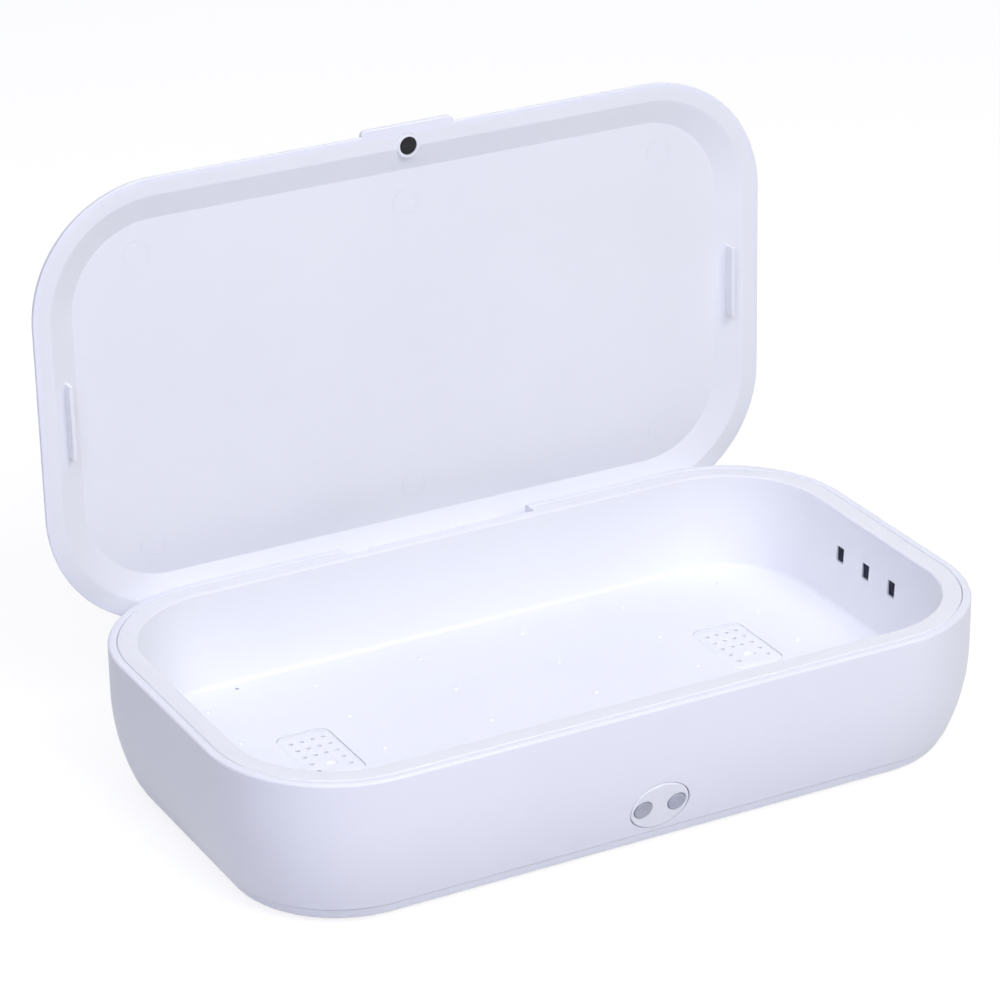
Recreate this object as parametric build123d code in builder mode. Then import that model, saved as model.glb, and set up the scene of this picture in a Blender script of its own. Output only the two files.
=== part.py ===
"""Ultraviolet phone sanitizer box: a hinged-lid box with lamps in both end walls.

Millimetres.  +X runs along the box to the right, +Y to the hinge side, +Z up.  The
lid is modelled open, as it rests on its stop.  The origin is on the table, at the
centre of the footprint of the box and its open lid.
"""
from build123d import *
from math import asin, atan, cos, degrees, radians, sin, sqrt, tan
import os

os.makedirs("parts", exist_ok=True)

# ---------------------------------------------------------------- driving dimensions
box_length = 220.0          # over the rim, along X
box_width = 125.6           # over the rim, along Y
corner_radius = 36.0        # plan corner of the rim
base_height = 42.0          # underside of the bottom cover to the rim
foot_stand = 1.0            # feet below the underside
lid_height = 9.0            # rim plane of the lid to its top
lid_gap = 0.5               # between the rim planes when the lid is closed
open_angle = 91.0           # lid at rest on its stop

# shell
shell_wall = 2.4
side_straight = 13.5        # upright part of the side wall, below the rim
side_sweep_radius = 60.0    # curve of the side wall below that
rim_round = 0.8             # outer top edge
ledge_width = 2.0           # carries the flange of the tray
ledge_depth = 1.6
seam_height = 4.2           # underside to the parting line with the bottom cover
seam_gap = 0.3
seam_step = 0.25            # the bottom cover stands back by this

# bottom cover
bottom_wall = 2.0
bottom_edge_radius = 4.0
lip_thickness = 1.2
lip_height = 1.0
foot_round = 0.4
foot_radius = 5.5
foot_thickness = 1.8
foot_end_inset = 36.0       # box end to a foot's centre
foot_side_inset = 26.8
screw_end_inset = 24.0
screw_side_inset = 39.8
boss_radius = 3.4
screw_radius = 1.1
screw_head_radius = 2.1
screw_head_height = 1.3
screw_clearance = 0.25
screw_fit = 0.05
screw_sink = 0.2
screw_slot = 0.6
bottom_screw_length = 9.0
small_screw_radius = 0.8

# tray
flange_width = 7.8          # outer edge of the box to the mouth of the tray
flange_thickness = 2.0
tray_wall = 1.8
tray_depth = 27.8           # rim to tray floor
tray_draft = 4.0            # degrees
tray_floor_round = 1.5
mouth_round = 0.7

# lamps
window_width = 3.4
window_height = 4.6
window_pitch = 12.7
window_drop = 12.3          # rim to window centres
lamp_board_length = 40.0
lamp_board_height = 11.0
board_thickness = 1.0
lamp_size = 2.8
lamp_height = 1.3
glass_thickness = 0.9
glass_clearance = 0.1
glass_set_back = 0.35
lamp_board_inset = 5.8      # box end to the board's face
lamp_pad_thickness = 2.1
lamp_screw_y = 17.0
lamp_screw_depth = 1.9

# scent pads
cover_length = 26.0         # along Y
cover_width = 14.8
cover_radius = 3.0
cover_thickness = 1.3
cover_clearance = 0.3
cover_end_inset = 46.4      # box end to the centre of a cover
cover_y = 5.4
hole_radius = 0.6
hole_pitch_x = 3.1
hole_pitch_y = 4.15
finger_notch_radius = 1.8
finger_notch_y = -6.3
finger_notch_depth = 0.7
finger_slit_width = 0.6
pad_thickness = 3.2
pad_clearance = 0.5
pad_gap = 0.2
pocket_wall = 1.5
pocket_step = 1.2           # ledge that carries the cover
cover_edge = 0.3

# small things on the tray floor
bump_radius = 0.9
bump_height = 0.5
bump_pitch_x = 31.8
bump_pitch_y = 20.6
pinhole_radius = 0.6
pinhole_end_inset = 43.0
pinhole_side_inset = 13.0

# hinge
hinge_half_width = 29.0     # half of the opening in the back wall
hinge_drop = 10.4           # rim to hinge axis
knuckle_radius = 2.8        # also the depth of the axis behind the back face
pin_radius = 1.2
pin_running = 0.05
pin_fixed = 0.02
ear_width = 4.4
hinge_side_gap = 0.6
leaf_thickness = 3.9
leaf_pocket_width = 7.0
leaf_pocket_depth = 1.0
stop_gap = 0.35

# lid
lid_wall = 1.8
lid_edge_wall = 1.5         # the cover's edge, seen in the rim plane
lid_seam = 0.3
liner_thickness = 1.8
liner_rim_thickness = 1.2
liner_back_step = 1.4
lid_dome_width = 17.0       # rim to the flat top, in plan
lid_rim_width = 5.0
lid_pan_inset = 12.2
lid_pan_depth = 3.3
tab_width = 27.6
tab_reach = 1.7
tab_thickness = 1.6
tab_root = 1.0              # how far it runs into the cover's edge
tab_round = 1.5
rib_length = 21.0
rib_thickness = 1.2
rib_height = 1.5            # below the rim plane of the lid
rib_inset = 8.25
post_radius = 3.7
post_end_inset = 31.0
post_side_inset = 21.4
mark_depth = 0.15
mark_width = 0.35

# catch
magnet_radius = 2.5
magnet_length = 1.8
magnet_inset = 4.5          # box front to magnet axis
magnet_ring = 0.9           # wall of the ring that holds it
ring_height = 1.5
seat_wall = 0.4
seat_height = 2.6
catch_length = 8.0
catch_width = 2.6
catch_height = 3.0
catch_inset = 2.8           # box front to the catch magnet
sensor_board_length = 9.0
sensor_board_height = 7.0
sensor_x = 12.5

# controls
plate_half_width = 8.5
plate_half_height = 7.1
plate_height = 12.9         # underside to plate centre
plate_thickness = 1.6
plate_clearance = 0.25
plate_lip = 1.0             # overlap behind the shell
plate_lip_depth = 2.4       # plate face to the back of that lip
button_radius = 2.5
button_spacing = 9.9
button_proud = 0.3
button_clearance = 0.15
button_round = 0.4
plate_round = 0.3
flange_overlap = 0.6        # of a button's flange behind the plate
flange_front = 1.7          # plate face to the front of that flange
flange_back = 2.1
flange_room = 0.3
plunger_radius = 1.2
plunger_clearance = 0.1
plunger_reach = 3.2         # plate face to the plunger's tip
switch_size = 4.5
switch_front = 3.0          # plate face to the switch
switch_well = 1.1
control_board_depth = 4.6   # plate face to the board
control_board_thickness = 0.8
control_board_length = 19.0
control_board_height = 11.0
control_post_radius = 1.4
control_post_y = 4.2
control_screw_length = 2.5

# electronics
main_board_length = 58.0
main_board_width = 26.0
main_board_thickness = 1.6
main_board_end = 31.0       # box end to the board
board_boss_radius = 2.6
main_board_stand = 3.6      # height of its bosses
usb_width = 9.0
usb_height = 3.2
usb_length = 7.4
usb_wall = 0.35
usb_clearance = 0.3
usb_set_back = 0.3
usb_overhang = 3.8          # how far the socket reaches past its board
wire_radius = 0.7
wire_bend = 2.5
wire_low = 5.0              # height of the lamp wires as they cross the box
wire_turn = 11.5            # height at which they leave the end wall
wire_lean = 0.8
wire_slope = 8.0
wire_rise = 7.0
wire_step = 2.2             # the panel's wire crosses this much above a lamp wire
wire_gap = 0.1
wire_drop = 2.8
panel_wire_x = -3.0
connector_length = 4.0
connector_width = 5.0
connector_height = 3.4
plug_spread = 14.0
wire_row = 14.0             # where both lamp wires leave, behind the box's centre
chip_height = 1.2
processor_size = 7.0
processor_shift = 1.0
converter_size = 5.0
converter_shift = 15.0
coil_radius = 3.0
coil_height = 3.0
usb_tongue_width = 6.6
usb_tongue_height = 0.7
usb_tongue_length = 5.6
small_screw_head_radius = 1.5
small_screw_head_height = 0.9
pin_length = 59.6
pin_end_gap = 0.2

# ---------------------------------------------------------------- derived places
half_length = box_length / 2
half_width = box_width / 2
underside = foot_stand
rim = underside + base_height
seam = underside + seam_height
sweep_start = rim - side_straight
tray_floor = rim - tray_depth
tray_underside = tray_floor - tray_wall
hinge_y = half_width - knuckle_radius
hinge_z = rim - hinge_drop
lid_rim = rim + lid_gap
lid_top = lid_rim + lid_height
open_cos = cos(radians(open_angle))
open_sin = sin(radians(open_angle))

# The open lid reaches behind the box; the origin lies midway between both ends.
lid_reach_front = half_width + hinge_y - lid_dome_width
lid_reach = hinge_y + (lid_top - hinge_z) * open_sin - lid_reach_front * open_cos
base_y = -(lid_reach - half_width) / 2


def inset_at(z):
    """How far the outer face of the side wall stands inside the rim at height z."""
    if z >= sweep_start:
        return 0.0
    drop = sweep_start - z
    return side_sweep_radius - sqrt(side_sweep_radius ** 2 - drop ** 2)


def level(z):
    """Horizontal plane of the base at height z, centred on the box."""
    return Plane(origin=(0, base_y, z), x_dir=(1, 0, 0), z_dir=(0, 0, 1))


def lid_level(z):
    """Plane of the open lid whose place in the closed box is height z."""
    up = z - hinge_z
    y = base_y + hinge_y - hinge_y * open_cos + up * open_sin
    height = hinge_z + hinge_y * open_sin + up * open_cos
    return Plane(origin=(0, y, height), x_dir=(1, 0, 0), z_dir=(0, open_sin, open_cos))


def lid_cross(x):
    """Plane across the hinge at x: its axes are the closed lid's +Y and +Z."""
    return Plane(
        origin=(x, base_y + hinge_y, hinge_z),
        x_dir=(0, open_cos, -open_sin),
        z_dir=(1, 0, 0),
    )


def base_cross(x):
    """Plane across the box at x, with the hinge axis as its origin."""
    return Plane(origin=(x, base_y + hinge_y, hinge_z), x_dir=(0, 1, 0), z_dir=(1, 0, 0))


def outline(inset, mode=Mode.ADD):
    """Plan outline of the box, drawn in by inset."""
    return RectangleRounded(
        box_length - 2 * inset,
        box_width - 2 * inset,
        corner_radius - inset,
        mode=mode,
    )


def rim_path(plane):
    """The rim's outline as a closed path on a plane."""
    with BuildSketch(plane) as ring:
        outline(0)
    return ring.sketch.face().outer_wire()


def across(path, up):
    """Plane across a path at its start: x runs into the box, y runs along up."""
    along = path % 0
    return Plane(origin=path @ 0, x_dir=Vector(*up).cross(along), z_dir=along)


sides = (("left", -1), ("right", 1))
corners = (
    ("front_left", -1, -1),
    ("front_right", 1, -1),
    ("back_left", -1, 1),
    ("back_right", 1, 1),
)

# ---------------------------------------------------------------- outer shell
# A one-piece ring: upright at the rim, sweeping in towards the table, with a ledge
# for the tray's flange, an opening and two ears for the hinge, and holes for the
# control plate and the power socket.
plate_tilt = asin((sweep_start - underside - plate_height) / side_sweep_radius)
plate_z = underside + plate_height
plate_normal = (0, -cos(plate_tilt), -sin(plate_tilt))
plate_origin = (0, base_y - half_width + inset_at(plate_z), plate_z)


def face_plane(depth):
    """Plane parallel to the control plate, depth inside its face, looking outwards."""
    shift = Vector(*plate_normal) * -depth
    return Plane(origin=Vector(*plate_origin) + shift, x_dir=(1, 0, 0), z_dir=plate_normal)


def back_plane(y):
    """Upright plane at the power socket, y behind the box's centre, looking back."""
    return Plane(origin=(usb_x, base_y + y, usb_z), x_dir=(-1, 0, 0), z_dir=(0, 1, 0))


def end_plane(sign, inset):
    """Upright plane at the window row of one end, inset from the end, looking out."""
    return Plane(
        origin=(sign * (half_length - inset), base_y, window_z),
        x_dir=(0, sign, 0),
        z_dir=(sign, 0, 0),
    )


window_z = rim - window_drop
shell_foot = seam + seam_gap
shell_arc_drop = sweep_start - shell_foot
inner_sweep_radius = side_sweep_radius + shell_wall
shell_inner_foot = inner_sweep_radius - sqrt(inner_sweep_radius ** 2 - shell_arc_drop ** 2)
mid_drop = shell_arc_drop / 2
outer_mid = (inset_at(sweep_start - mid_drop), sweep_start - mid_drop)
inner_mid_inset = inner_sweep_radius - sqrt(inner_sweep_radius ** 2 - mid_drop ** 2)
inner_mid = (shell_wall + inner_mid_inset, sweep_start - mid_drop)
ledge_top = rim - flange_thickness
ledge_inset = shell_wall + ledge_width

base_path = rim_path(level(rim))
main_board_x = half_length - main_board_end - main_board_length / 2
usb_x = main_board_x
main_board_z = underside + bottom_wall + main_board_stand
usb_z = main_board_z + main_board_thickness + usb_height / 2
usb_mouth_y = half_width - inset_at(usb_z) - usb_set_back
main_board_y = usb_mouth_y - usb_overhang - main_board_width / 2
notch_bottom = hinge_z - knuckle_radius - stop_gap
ear_inner = hinge_half_width - ear_width

with BuildPart() as outer_shell:
    with BuildSketch(across(base_path, (0, 0, 1))):
        with BuildLine():
            Line((0, -rim_round), (0, -side_straight))
            ThreePointArc(
                (0, -side_straight),
                (outer_mid[0], outer_mid[1] - rim),
                (inset_at(shell_foot), shell_foot - rim),
            )
            Line(
                (inset_at(shell_foot), shell_foot - rim),
                (shell_wall + shell_inner_foot, shell_foot - rim),
            )
            ThreePointArc(
                (shell_wall + shell_inner_foot, shell_foot - rim),
                (inner_mid[0], inner_mid[1] - rim),
                (shell_wall, -side_straight),
            )
            Polyline(
                (shell_wall, -side_straight),
                (shell_wall, -flange_thickness - ledge_depth - ledge_width),
                (ledge_inset, -flange_thickness - ledge_depth),
                (ledge_inset, -flange_thickness),
                (shell_wall, -flange_thickness),
                (shell_wall, 0),
                (rim_round, 0),
            )
            RadiusArc((rim_round, 0), (0, -rim_round), -rim_round)
        make_face()
    sweep(path=base_path)
    # opening for the hinge leaf
    with BuildSketch(level(rim)):
        with Locations((0, half_width)):
            Rectangle(2 * hinge_half_width, 2 * (ledge_inset + seam_gap))
    extrude(amount=notch_bottom - rim, mode=Mode.SUBTRACT)
    # the ledge stops short for the catch magnet and the lid sensor
    with BuildSketch(level(ledge_top)):
        with Locations(((sensor_x - catch_length / 2) / 2, -half_width + ledge_inset)):
            Rectangle(catch_length + sensor_x + sensor_board_length, 2 * ledge_width)
    extrude(amount=-ledge_depth - ledge_width, mode=Mode.SUBTRACT)
    # ears that carry the hinge pin
    for side, sign in sides:
        with BuildSketch(base_cross(sign * ear_inner)):
            Circle(knuckle_radius)
            with Locations((0, -(knuckle_radius + stop_gap + 1) / 2)):
                Rectangle(2 * knuckle_radius, knuckle_radius + stop_gap + 1)
        extrude(amount=sign * (ear_width + shell_wall))
    with BuildSketch(base_cross(-pin_length / 2 - pin_end_gap)):
        Circle(pin_radius + pin_fixed)
    extrude(amount=pin_length + 2 * pin_end_gap, mode=Mode.SUBTRACT)
    # stepped hole for the control plate
    with BuildSketch(face_plane(-shell_wall)):
        Ellipse(plate_half_width + plate_clearance, plate_half_height + plate_clearance)
    extrude(amount=-4 * shell_wall, mode=Mode.SUBTRACT)
    with BuildSketch(face_plane(plate_thickness)):
        Ellipse(
            plate_half_width + plate_lip + plate_clearance,
            plate_half_height + plate_lip + plate_clearance,
        )
    extrude(amount=-4 * shell_wall, mode=Mode.SUBTRACT)
    # hole for the power socket
    with BuildSketch(back_plane(half_width)):
        RectangleRounded(
            usb_width + 2 * usb_clearance,
            usb_height + 2 * usb_clearance,
            usb_height / 2,
        )
    extrude(amount=-half_width / 4, mode=Mode.SUBTRACT)
outer_shell.part.label = "outer_shell"
export_step(outer_shell.part, "parts/outer_shell.step")

# ---------------------------------------------------------------- bottom cover
# A shallow pan with a rounded edge.  It clamps the shell up against the tray's
# flange, and carries the feet and the main board.
cover_top_inset = inset_at(seam) + seam_step
cover_taper = degrees(atan((inset_at(underside) - inset_at(seam)) / seam_height))
lip_inset = shell_wall + shell_inner_foot + seam_gap
boss_x = main_board_length / 2 - board_boss_radius
boss_y = main_board_width / 2 - board_boss_radius
board_boss_places = [
    (main_board_x + sx * boss_x, main_board_y + sy * boss_y) for _, sx, sy in corners
]
screw_x = half_length - screw_end_inset
screw_y = half_width - screw_side_inset
foot_x = half_length - foot_end_inset
foot_y = half_width - foot_side_inset
bottom_screw_places = [(sx * screw_x, sy * screw_y) for _, sx, sy in corners]
foot_places = [(sx * foot_x, sy * foot_y) for _, sx, sy in corners]

with BuildPart() as bottom_cover:
    with BuildSketch(level(seam)):
        outline(cover_top_inset)
    extrude(amount=-seam_height, taper=cover_taper)
    fillet(bottom_cover.edges().group_by(Axis.Z)[0], bottom_edge_radius)
    with BuildSketch(level(seam)):
        outline(cover_top_inset + bottom_wall)
    extrude(amount=bottom_wall - seam_height, taper=cover_taper, mode=Mode.SUBTRACT)
    # lip inside the shell
    with BuildSketch(level(underside + bottom_wall)):
        outline(lip_inset)
        outline(lip_inset + lip_thickness, Mode.SUBTRACT)
    extrude(amount=seam - underside - bottom_wall + lip_height)
    with BuildSketch(level(underside + bottom_wall)):
        with Locations(*board_boss_places):
            Circle(board_boss_radius)
    extrude(amount=main_board_stand)
    with BuildSketch(level(main_board_z)):
        with Locations(*board_boss_places):
            Circle(screw_radius + screw_fit)
    extrude(amount=-main_board_stand, mode=Mode.SUBTRACT)
    with BuildSketch(level(underside)):
        with Locations(*foot_places):
            Circle(foot_radius + screw_clearance)
    extrude(amount=foot_thickness - foot_stand, mode=Mode.SUBTRACT)
    with BuildSketch(level(underside)):
        with Locations(*bottom_screw_places):
            Circle(screw_radius + screw_clearance)
    extrude(amount=seam_height, mode=Mode.SUBTRACT)
    with BuildSketch(level(underside)):
        with Locations(*bottom_screw_places):
            Circle(screw_head_radius + screw_clearance)
    extrude(amount=screw_head_height, mode=Mode.SUBTRACT)
bottom_cover.part.label = "bottom_cover"
export_step(bottom_cover.part, "parts/bottom_cover.step")

for (name, sx, sy), place in zip(corners, foot_places):
    with BuildPart() as foot:
        with BuildSketch(level(0)):
            with Locations(place):
                Circle(foot_radius)
        extrude(amount=foot_thickness)
        fillet(foot.edges().group_by(Axis.Z)[0], foot_round)
    foot.part.label = "foot_" + name
    export_step(foot.part, "parts/foot_" + name + ".step")

with BuildPart() as bottom_screws:
    with BuildSketch(level(underside + screw_sink)):
        with Locations(*bottom_screw_places):
            Circle(screw_head_radius)
    extrude(amount=screw_head_height - screw_sink)
    with BuildSketch(level(underside + screw_head_height)):
        with Locations(*bottom_screw_places):
            Circle(screw_radius)
    extrude(amount=bottom_screw_length)
    with BuildSketch(level(underside + screw_sink)):
        with Locations(*bottom_screw_places):
            Rectangle(screw_slot, 2.4 * screw_radius)
            Rectangle(2.4 * screw_radius, screw_slot)
    extrude(amount=screw_head_height / 2, mode=Mode.SUBTRACT)
bottom_screws.part.label = "bottom_screws"
export_step(bottom_screws.part, "parts/bottom_screws.step")

# ---------------------------------------------------------------- tray
# The liner of the box: a flange flush with the rim, drafted walls with a row of
# windows in each end, a floor with bumps, and a pocket for a scent pad at each end.
window_places = [(-window_pitch, 0), (0, 0), (window_pitch, 0)]
pocket_floor = tray_floor - cover_thickness - pad_thickness - pad_gap
pocket_width = cover_width - 2 * pocket_step
pocket_length = cover_length - 2 * pocket_step
cover_x = half_length - cover_end_inset
draft_slope = tan(radians(tray_draft))
bump_sphere = (bump_radius ** 2 + bump_height ** 2) / (2 * bump_height)
bump_places = [
    (ix * bump_pitch_x / 2, iy * bump_pitch_y)
    for ix in (-5, -3, -1, 1, 3, 5)
    for iy in (-2, -1, 0, 1, 2)
]
bore_depth = bottom_screw_length + 1

with BuildPart() as inner_tray:
    with BuildSketch(level(rim)):
        outline(shell_wall + seam_gap)
    extrude(amount=-flange_thickness)
    with BuildSketch(level(rim)):
        outline(flange_width - tray_wall)
    extrude(amount=tray_underside - rim, taper=tray_draft)
    with BuildSketch(level(rim)):
        outline(flange_width)
    extrude(amount=-tray_depth, taper=tray_draft, mode=Mode.SUBTRACT)
    cavity = inner_tray.edges(Select.LAST)
    fillet(cavity.filter_by_position(Axis.Z, rim - 0.1, rim + 0.1), mouth_round)
    fillet(cavity.filter_by_position(Axis.Z, tray_floor - 0.1, tray_floor + 0.1), tray_floor_round)
    # the flange leaves room for the hinge leaf
    leaf_room = leaf_thickness + seam_gap
    with BuildSketch(level(rim)):
        with Locations((0, half_width)):
            Rectangle(2 * hinge_half_width, 2 * leaf_room)
        for side, sign in sides:
            with Locations((sign * (hinge_half_width - leaf_pocket_width / 2), half_width)):
                Rectangle(leaf_pocket_width, 2 * (leaf_room + leaf_pocket_depth))
    extrude(amount=-flange_thickness, mode=Mode.SUBTRACT)
    for side, sign in sides:
        # flat pad behind the end wall for the lamp board, with its windows
        with BuildSketch(end_plane(sign, lamp_board_inset)):
            Rectangle(lamp_board_length, lamp_board_height)
        extrude(amount=-lamp_pad_thickness)
        with BuildSketch(end_plane(sign, lamp_board_inset)):
            with Locations(*window_places):
                Rectangle(window_width, window_height)
        extrude(amount=-lamp_pad_thickness - tray_wall, mode=Mode.SUBTRACT)
        with BuildSketch(end_plane(sign, lamp_board_inset)):
            with Locations((-lamp_screw_y, 0), (lamp_screw_y, 0)):
                Circle(small_screw_radius + screw_fit)
        extrude(amount=-lamp_screw_depth, mode=Mode.SUBTRACT)
        # pocket for the scent pad
        with BuildSketch(level(tray_underside + tray_wall / 2)):
            with Locations((sign * cover_x, cover_y)):
                RectangleRounded(
                    pocket_width + 2 * tray_wall,
                    pocket_length + 2 * tray_wall,
                    cover_radius,
                )
        extrude(amount=pocket_floor - pocket_wall - tray_underside - tray_wall / 2)
        with BuildSketch(level(tray_floor)):
            with Locations((sign * cover_x, cover_y)):
                RectangleRounded(
                    cover_width + 2 * cover_clearance,
                    cover_length + 2 * cover_clearance,
                    cover_radius + cover_clearance,
                )
        extrude(amount=-cover_thickness, mode=Mode.SUBTRACT)
        with BuildSketch(level(tray_floor)):
            with Locations((sign * cover_x, cover_y)):
                RectangleRounded(pocket_width, pocket_length, cover_radius - pocket_step)
        extrude(amount=pocket_floor - tray_floor, mode=Mode.SUBTRACT)
    # bosses for the bottom screws
    with BuildSketch(level(underside + bottom_wall)):
        with Locations(*bottom_screw_places):
            Circle(boss_radius)
    extrude(amount=tray_underside - underside - bottom_wall + tray_wall / 2)
    with BuildSketch(level(underside + bottom_wall)):
        with Locations(*bottom_screw_places):
            Circle(screw_radius + screw_fit)
    extrude(amount=bore_depth, mode=Mode.SUBTRACT)
    with BuildSketch(level(tray_floor)):
        with Locations((pinhole_end_inset - half_length, half_width - pinhole_side_inset)):
            Circle(pinhole_radius)
    extrude(amount=-2 * tray_wall, mode=Mode.SUBTRACT)
    for x, y in bump_places:
        over_cover = abs(abs(x) - cover_x) < cover_width and abs(y - cover_y) < cover_length
        if not over_cover:
            with Locations((x, base_y + y, tray_floor + bump_height - bump_sphere)):
                Sphere(bump_sphere)
inner_tray.part.label = "inner_tray"
export_step(inner_tray.part, "parts/inner_tray.step")

# ---------------------------------------------------------------- scent covers and pads
column = hole_pitch_x / 2
hole_places = [
    (ix * column, iy * hole_pitch_y)
    for ix in (-3, -1, 1, 3)
    for iy in (-2, -1, 0, 1, 2)
    if abs(ix) == 3 or iy > -1
]
for side, sign in sides:
    with BuildPart() as aroma_cover:
        with BuildSketch(level(tray_floor)):
            with Locations((sign * cover_x, cover_y)):
                RectangleRounded(cover_width, cover_length, cover_radius)
        extrude(amount=-cover_thickness)
        chamfer(aroma_cover.edges().group_by(Axis.Z)[-1], cover_edge)
        with BuildSketch(level(tray_floor)):
            with Locations((sign * cover_x, cover_y)):
                with Locations(*hole_places):
                    Circle(hole_radius)
                with Locations((0, finger_notch_y)):
                    Rectangle(
                        2 * finger_notch_radius,
                        finger_slit_width,
                        align=(Align.CENTER, Align.MAX),
                    )
        extrude(amount=-cover_thickness, mode=Mode.SUBTRACT)
        with BuildSketch(level(tray_floor)):
            with Locations((sign * cover_x, cover_y + finger_notch_y)):
                Circle(finger_notch_radius)
                Rectangle(
                    2 * finger_notch_radius,
                    finger_notch_radius,
                    align=(Align.CENTER, Align.MAX),
                    mode=Mode.SUBTRACT,
                )
        extrude(amount=-finger_notch_depth, mode=Mode.SUBTRACT)
    aroma_cover.part.label = "aroma_cover_" + side
    export_step(aroma_cover.part, "parts/aroma_cover_" + side + ".step")

    with BuildPart() as aroma_pad:
        with BuildSketch(level(pocket_floor)):
            with Locations((sign * cover_x, cover_y)):
                RectangleRounded(
                    pocket_width - 2 * pad_clearance,
                    pocket_length - 2 * pad_clearance,
                    cover_radius - pocket_step,
                )
        extrude(amount=pad_thickness)
    aroma_pad.part.label = "aroma_pad_" + side
    export_step(aroma_pad.part, "parts/aroma_pad_" + side + ".step")

# ---------------------------------------------------------------- lamps
# A board behind each end wall carries three lamps that shine through quartz windows.
window_inset = flange_width + window_drop * draft_slope
glass_inset = window_inset - glass_set_back
for side, sign in sides:
    with BuildPart() as uv_board:
        with BuildSketch(end_plane(sign, lamp_board_inset)):
            Rectangle(lamp_board_length, lamp_board_height)
        extrude(amount=board_thickness)
        with BuildSketch(end_plane(sign, lamp_board_inset)):
            with Locations((-lamp_screw_y, 0), (lamp_screw_y, 0)):
                Circle(small_screw_radius + screw_fit)
        extrude(amount=board_thickness, mode=Mode.SUBTRACT)
    uv_board.part.label = "uv_board_" + side
    export_step(uv_board.part, "parts/uv_board_" + side + ".step")

    with BuildPart() as uv_lamps:
        with BuildSketch(end_plane(sign, lamp_board_inset)):
            with Locations(*window_places):
                Rectangle(lamp_size, lamp_size)
        extrude(amount=-lamp_height)
    uv_lamps.part.label = "uv_lamps_" + side
    export_step(uv_lamps.part, "parts/uv_lamps_" + side + ".step")

    with BuildPart() as uv_windows:
        with BuildSketch(end_plane(sign, glass_inset)):
            with Locations(*window_places):
                Rectangle(window_width - 2 * glass_clearance, window_height - 2 * glass_clearance)
        extrude(amount=glass_thickness)
    uv_windows.part.label = "uv_windows_" + side
    export_step(uv_windows.part, "parts/uv_windows_" + side + ".step")

with BuildPart() as lamp_screws:
    for side, sign in sides:
        with BuildSketch(end_plane(sign, lamp_board_inset - board_thickness)):
            with Locations((-lamp_screw_y, 0), (lamp_screw_y, 0)):
                Circle(small_screw_head_radius)
        extrude(amount=small_screw_head_height)
        with BuildSketch(end_plane(sign, lamp_board_inset - board_thickness)):
            with Locations((-lamp_screw_y, 0), (lamp_screw_y, 0)):
                Circle(small_screw_radius)
        extrude(amount=-board_thickness - lamp_screw_depth + pin_end_gap)
lamp_screws.part.label = "lamp_screws"
export_step(lamp_screws.part, "parts/lamp_screws.step")

# ---------------------------------------------------------------- main board
with BuildPart() as main_board:
    with BuildSketch(level(main_board_z)):
        with Locations((main_board_x, main_board_y)):
            Rectangle(main_board_length, main_board_width)
        with Locations(*board_boss_places):
            Circle(screw_radius + screw_fit, mode=Mode.SUBTRACT)
    extrude(amount=main_board_thickness)
main_board.part.label = "main_board"
export_step(main_board.part, "parts/main_board.step")

board_top = main_board_z + main_board_thickness
with BuildPart() as board_screws:
    with BuildSketch(level(board_top)):
        with Locations(*board_boss_places):
            Circle(screw_head_radius)
    extrude(amount=small_screw_head_height)
    with BuildSketch(level(board_top)):
        with Locations(*board_boss_places):
            Circle(screw_radius)
    extrude(amount=pin_end_gap - main_board_thickness - main_board_stand)
    with BuildSketch(level(board_top + small_screw_head_height)):
        with Locations(*board_boss_places):
            Rectangle(screw_slot, 2.4 * screw_radius)
            Rectangle(2.4 * screw_radius, screw_slot)
    extrude(amount=-small_screw_head_height / 2, mode=Mode.SUBTRACT)
board_screws.part.label = "board_screws"
export_step(board_screws.part, "parts/board_screws.step")

left_plug = (main_board_x - main_board_length / 2 + connector_length, main_board_y)
front_plug_y = main_board_y - main_board_width / 2 + connector_length
front_plugs = [(main_board_x + sign * plug_spread, front_plug_y) for _, sign in sides]
with BuildPart() as board_connectors:
    with BuildSketch(level(board_top)):
        with Locations(left_plug):
            Rectangle(connector_length, connector_width)
        with Locations(*front_plugs):
            Rectangle(connector_width, connector_length)
    extrude(amount=connector_height)
board_connectors.part.label = "board_connectors"
export_step(board_connectors.part, "parts/board_connectors.step")

with BuildPart() as board_chips:
    with BuildSketch(level(board_top)):
        with Locations((main_board_x - processor_shift, main_board_y)):
            Rectangle(processor_size, processor_size)
        with Locations((main_board_x + converter_shift, main_board_y)):
            Rectangle(converter_size, converter_size)
        with Locations((main_board_x - converter_shift, main_board_y)):
            Rectangle(converter_size, converter_size)
    extrude(amount=chip_height)
    with BuildSketch(level(board_top)):
        with Locations((main_board_x, front_plug_y)):
            Circle(coil_radius)
    extrude(amount=coil_height)
board_chips.part.label = "board_chips"
export_step(board_chips.part, "parts/board_chips.step")

with BuildPart() as usb_socket:
    with BuildSketch(back_plane(usb_mouth_y)):
        RectangleRounded(usb_width, usb_height, usb_height / 2 - usb_wall / 2)
    extrude(amount=-usb_length)
    with BuildSketch(back_plane(usb_mouth_y)):
        RectangleRounded(
            usb_width - 2 * usb_wall,
            usb_height - 2 * usb_wall,
            usb_height / 2 - 1.5 * usb_wall,
        )
    extrude(amount=-usb_length + 2 * usb_wall, mode=Mode.SUBTRACT)
    with BuildSketch(back_plane(usb_mouth_y - usb_length + usb_wall)):
        Rectangle(usb_tongue_width, usb_tongue_height)
    extrude(amount=usb_tongue_length)
usb_socket.part.label = "usb_socket"
export_step(usb_socket.part, "parts/usb_socket.step")

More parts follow.
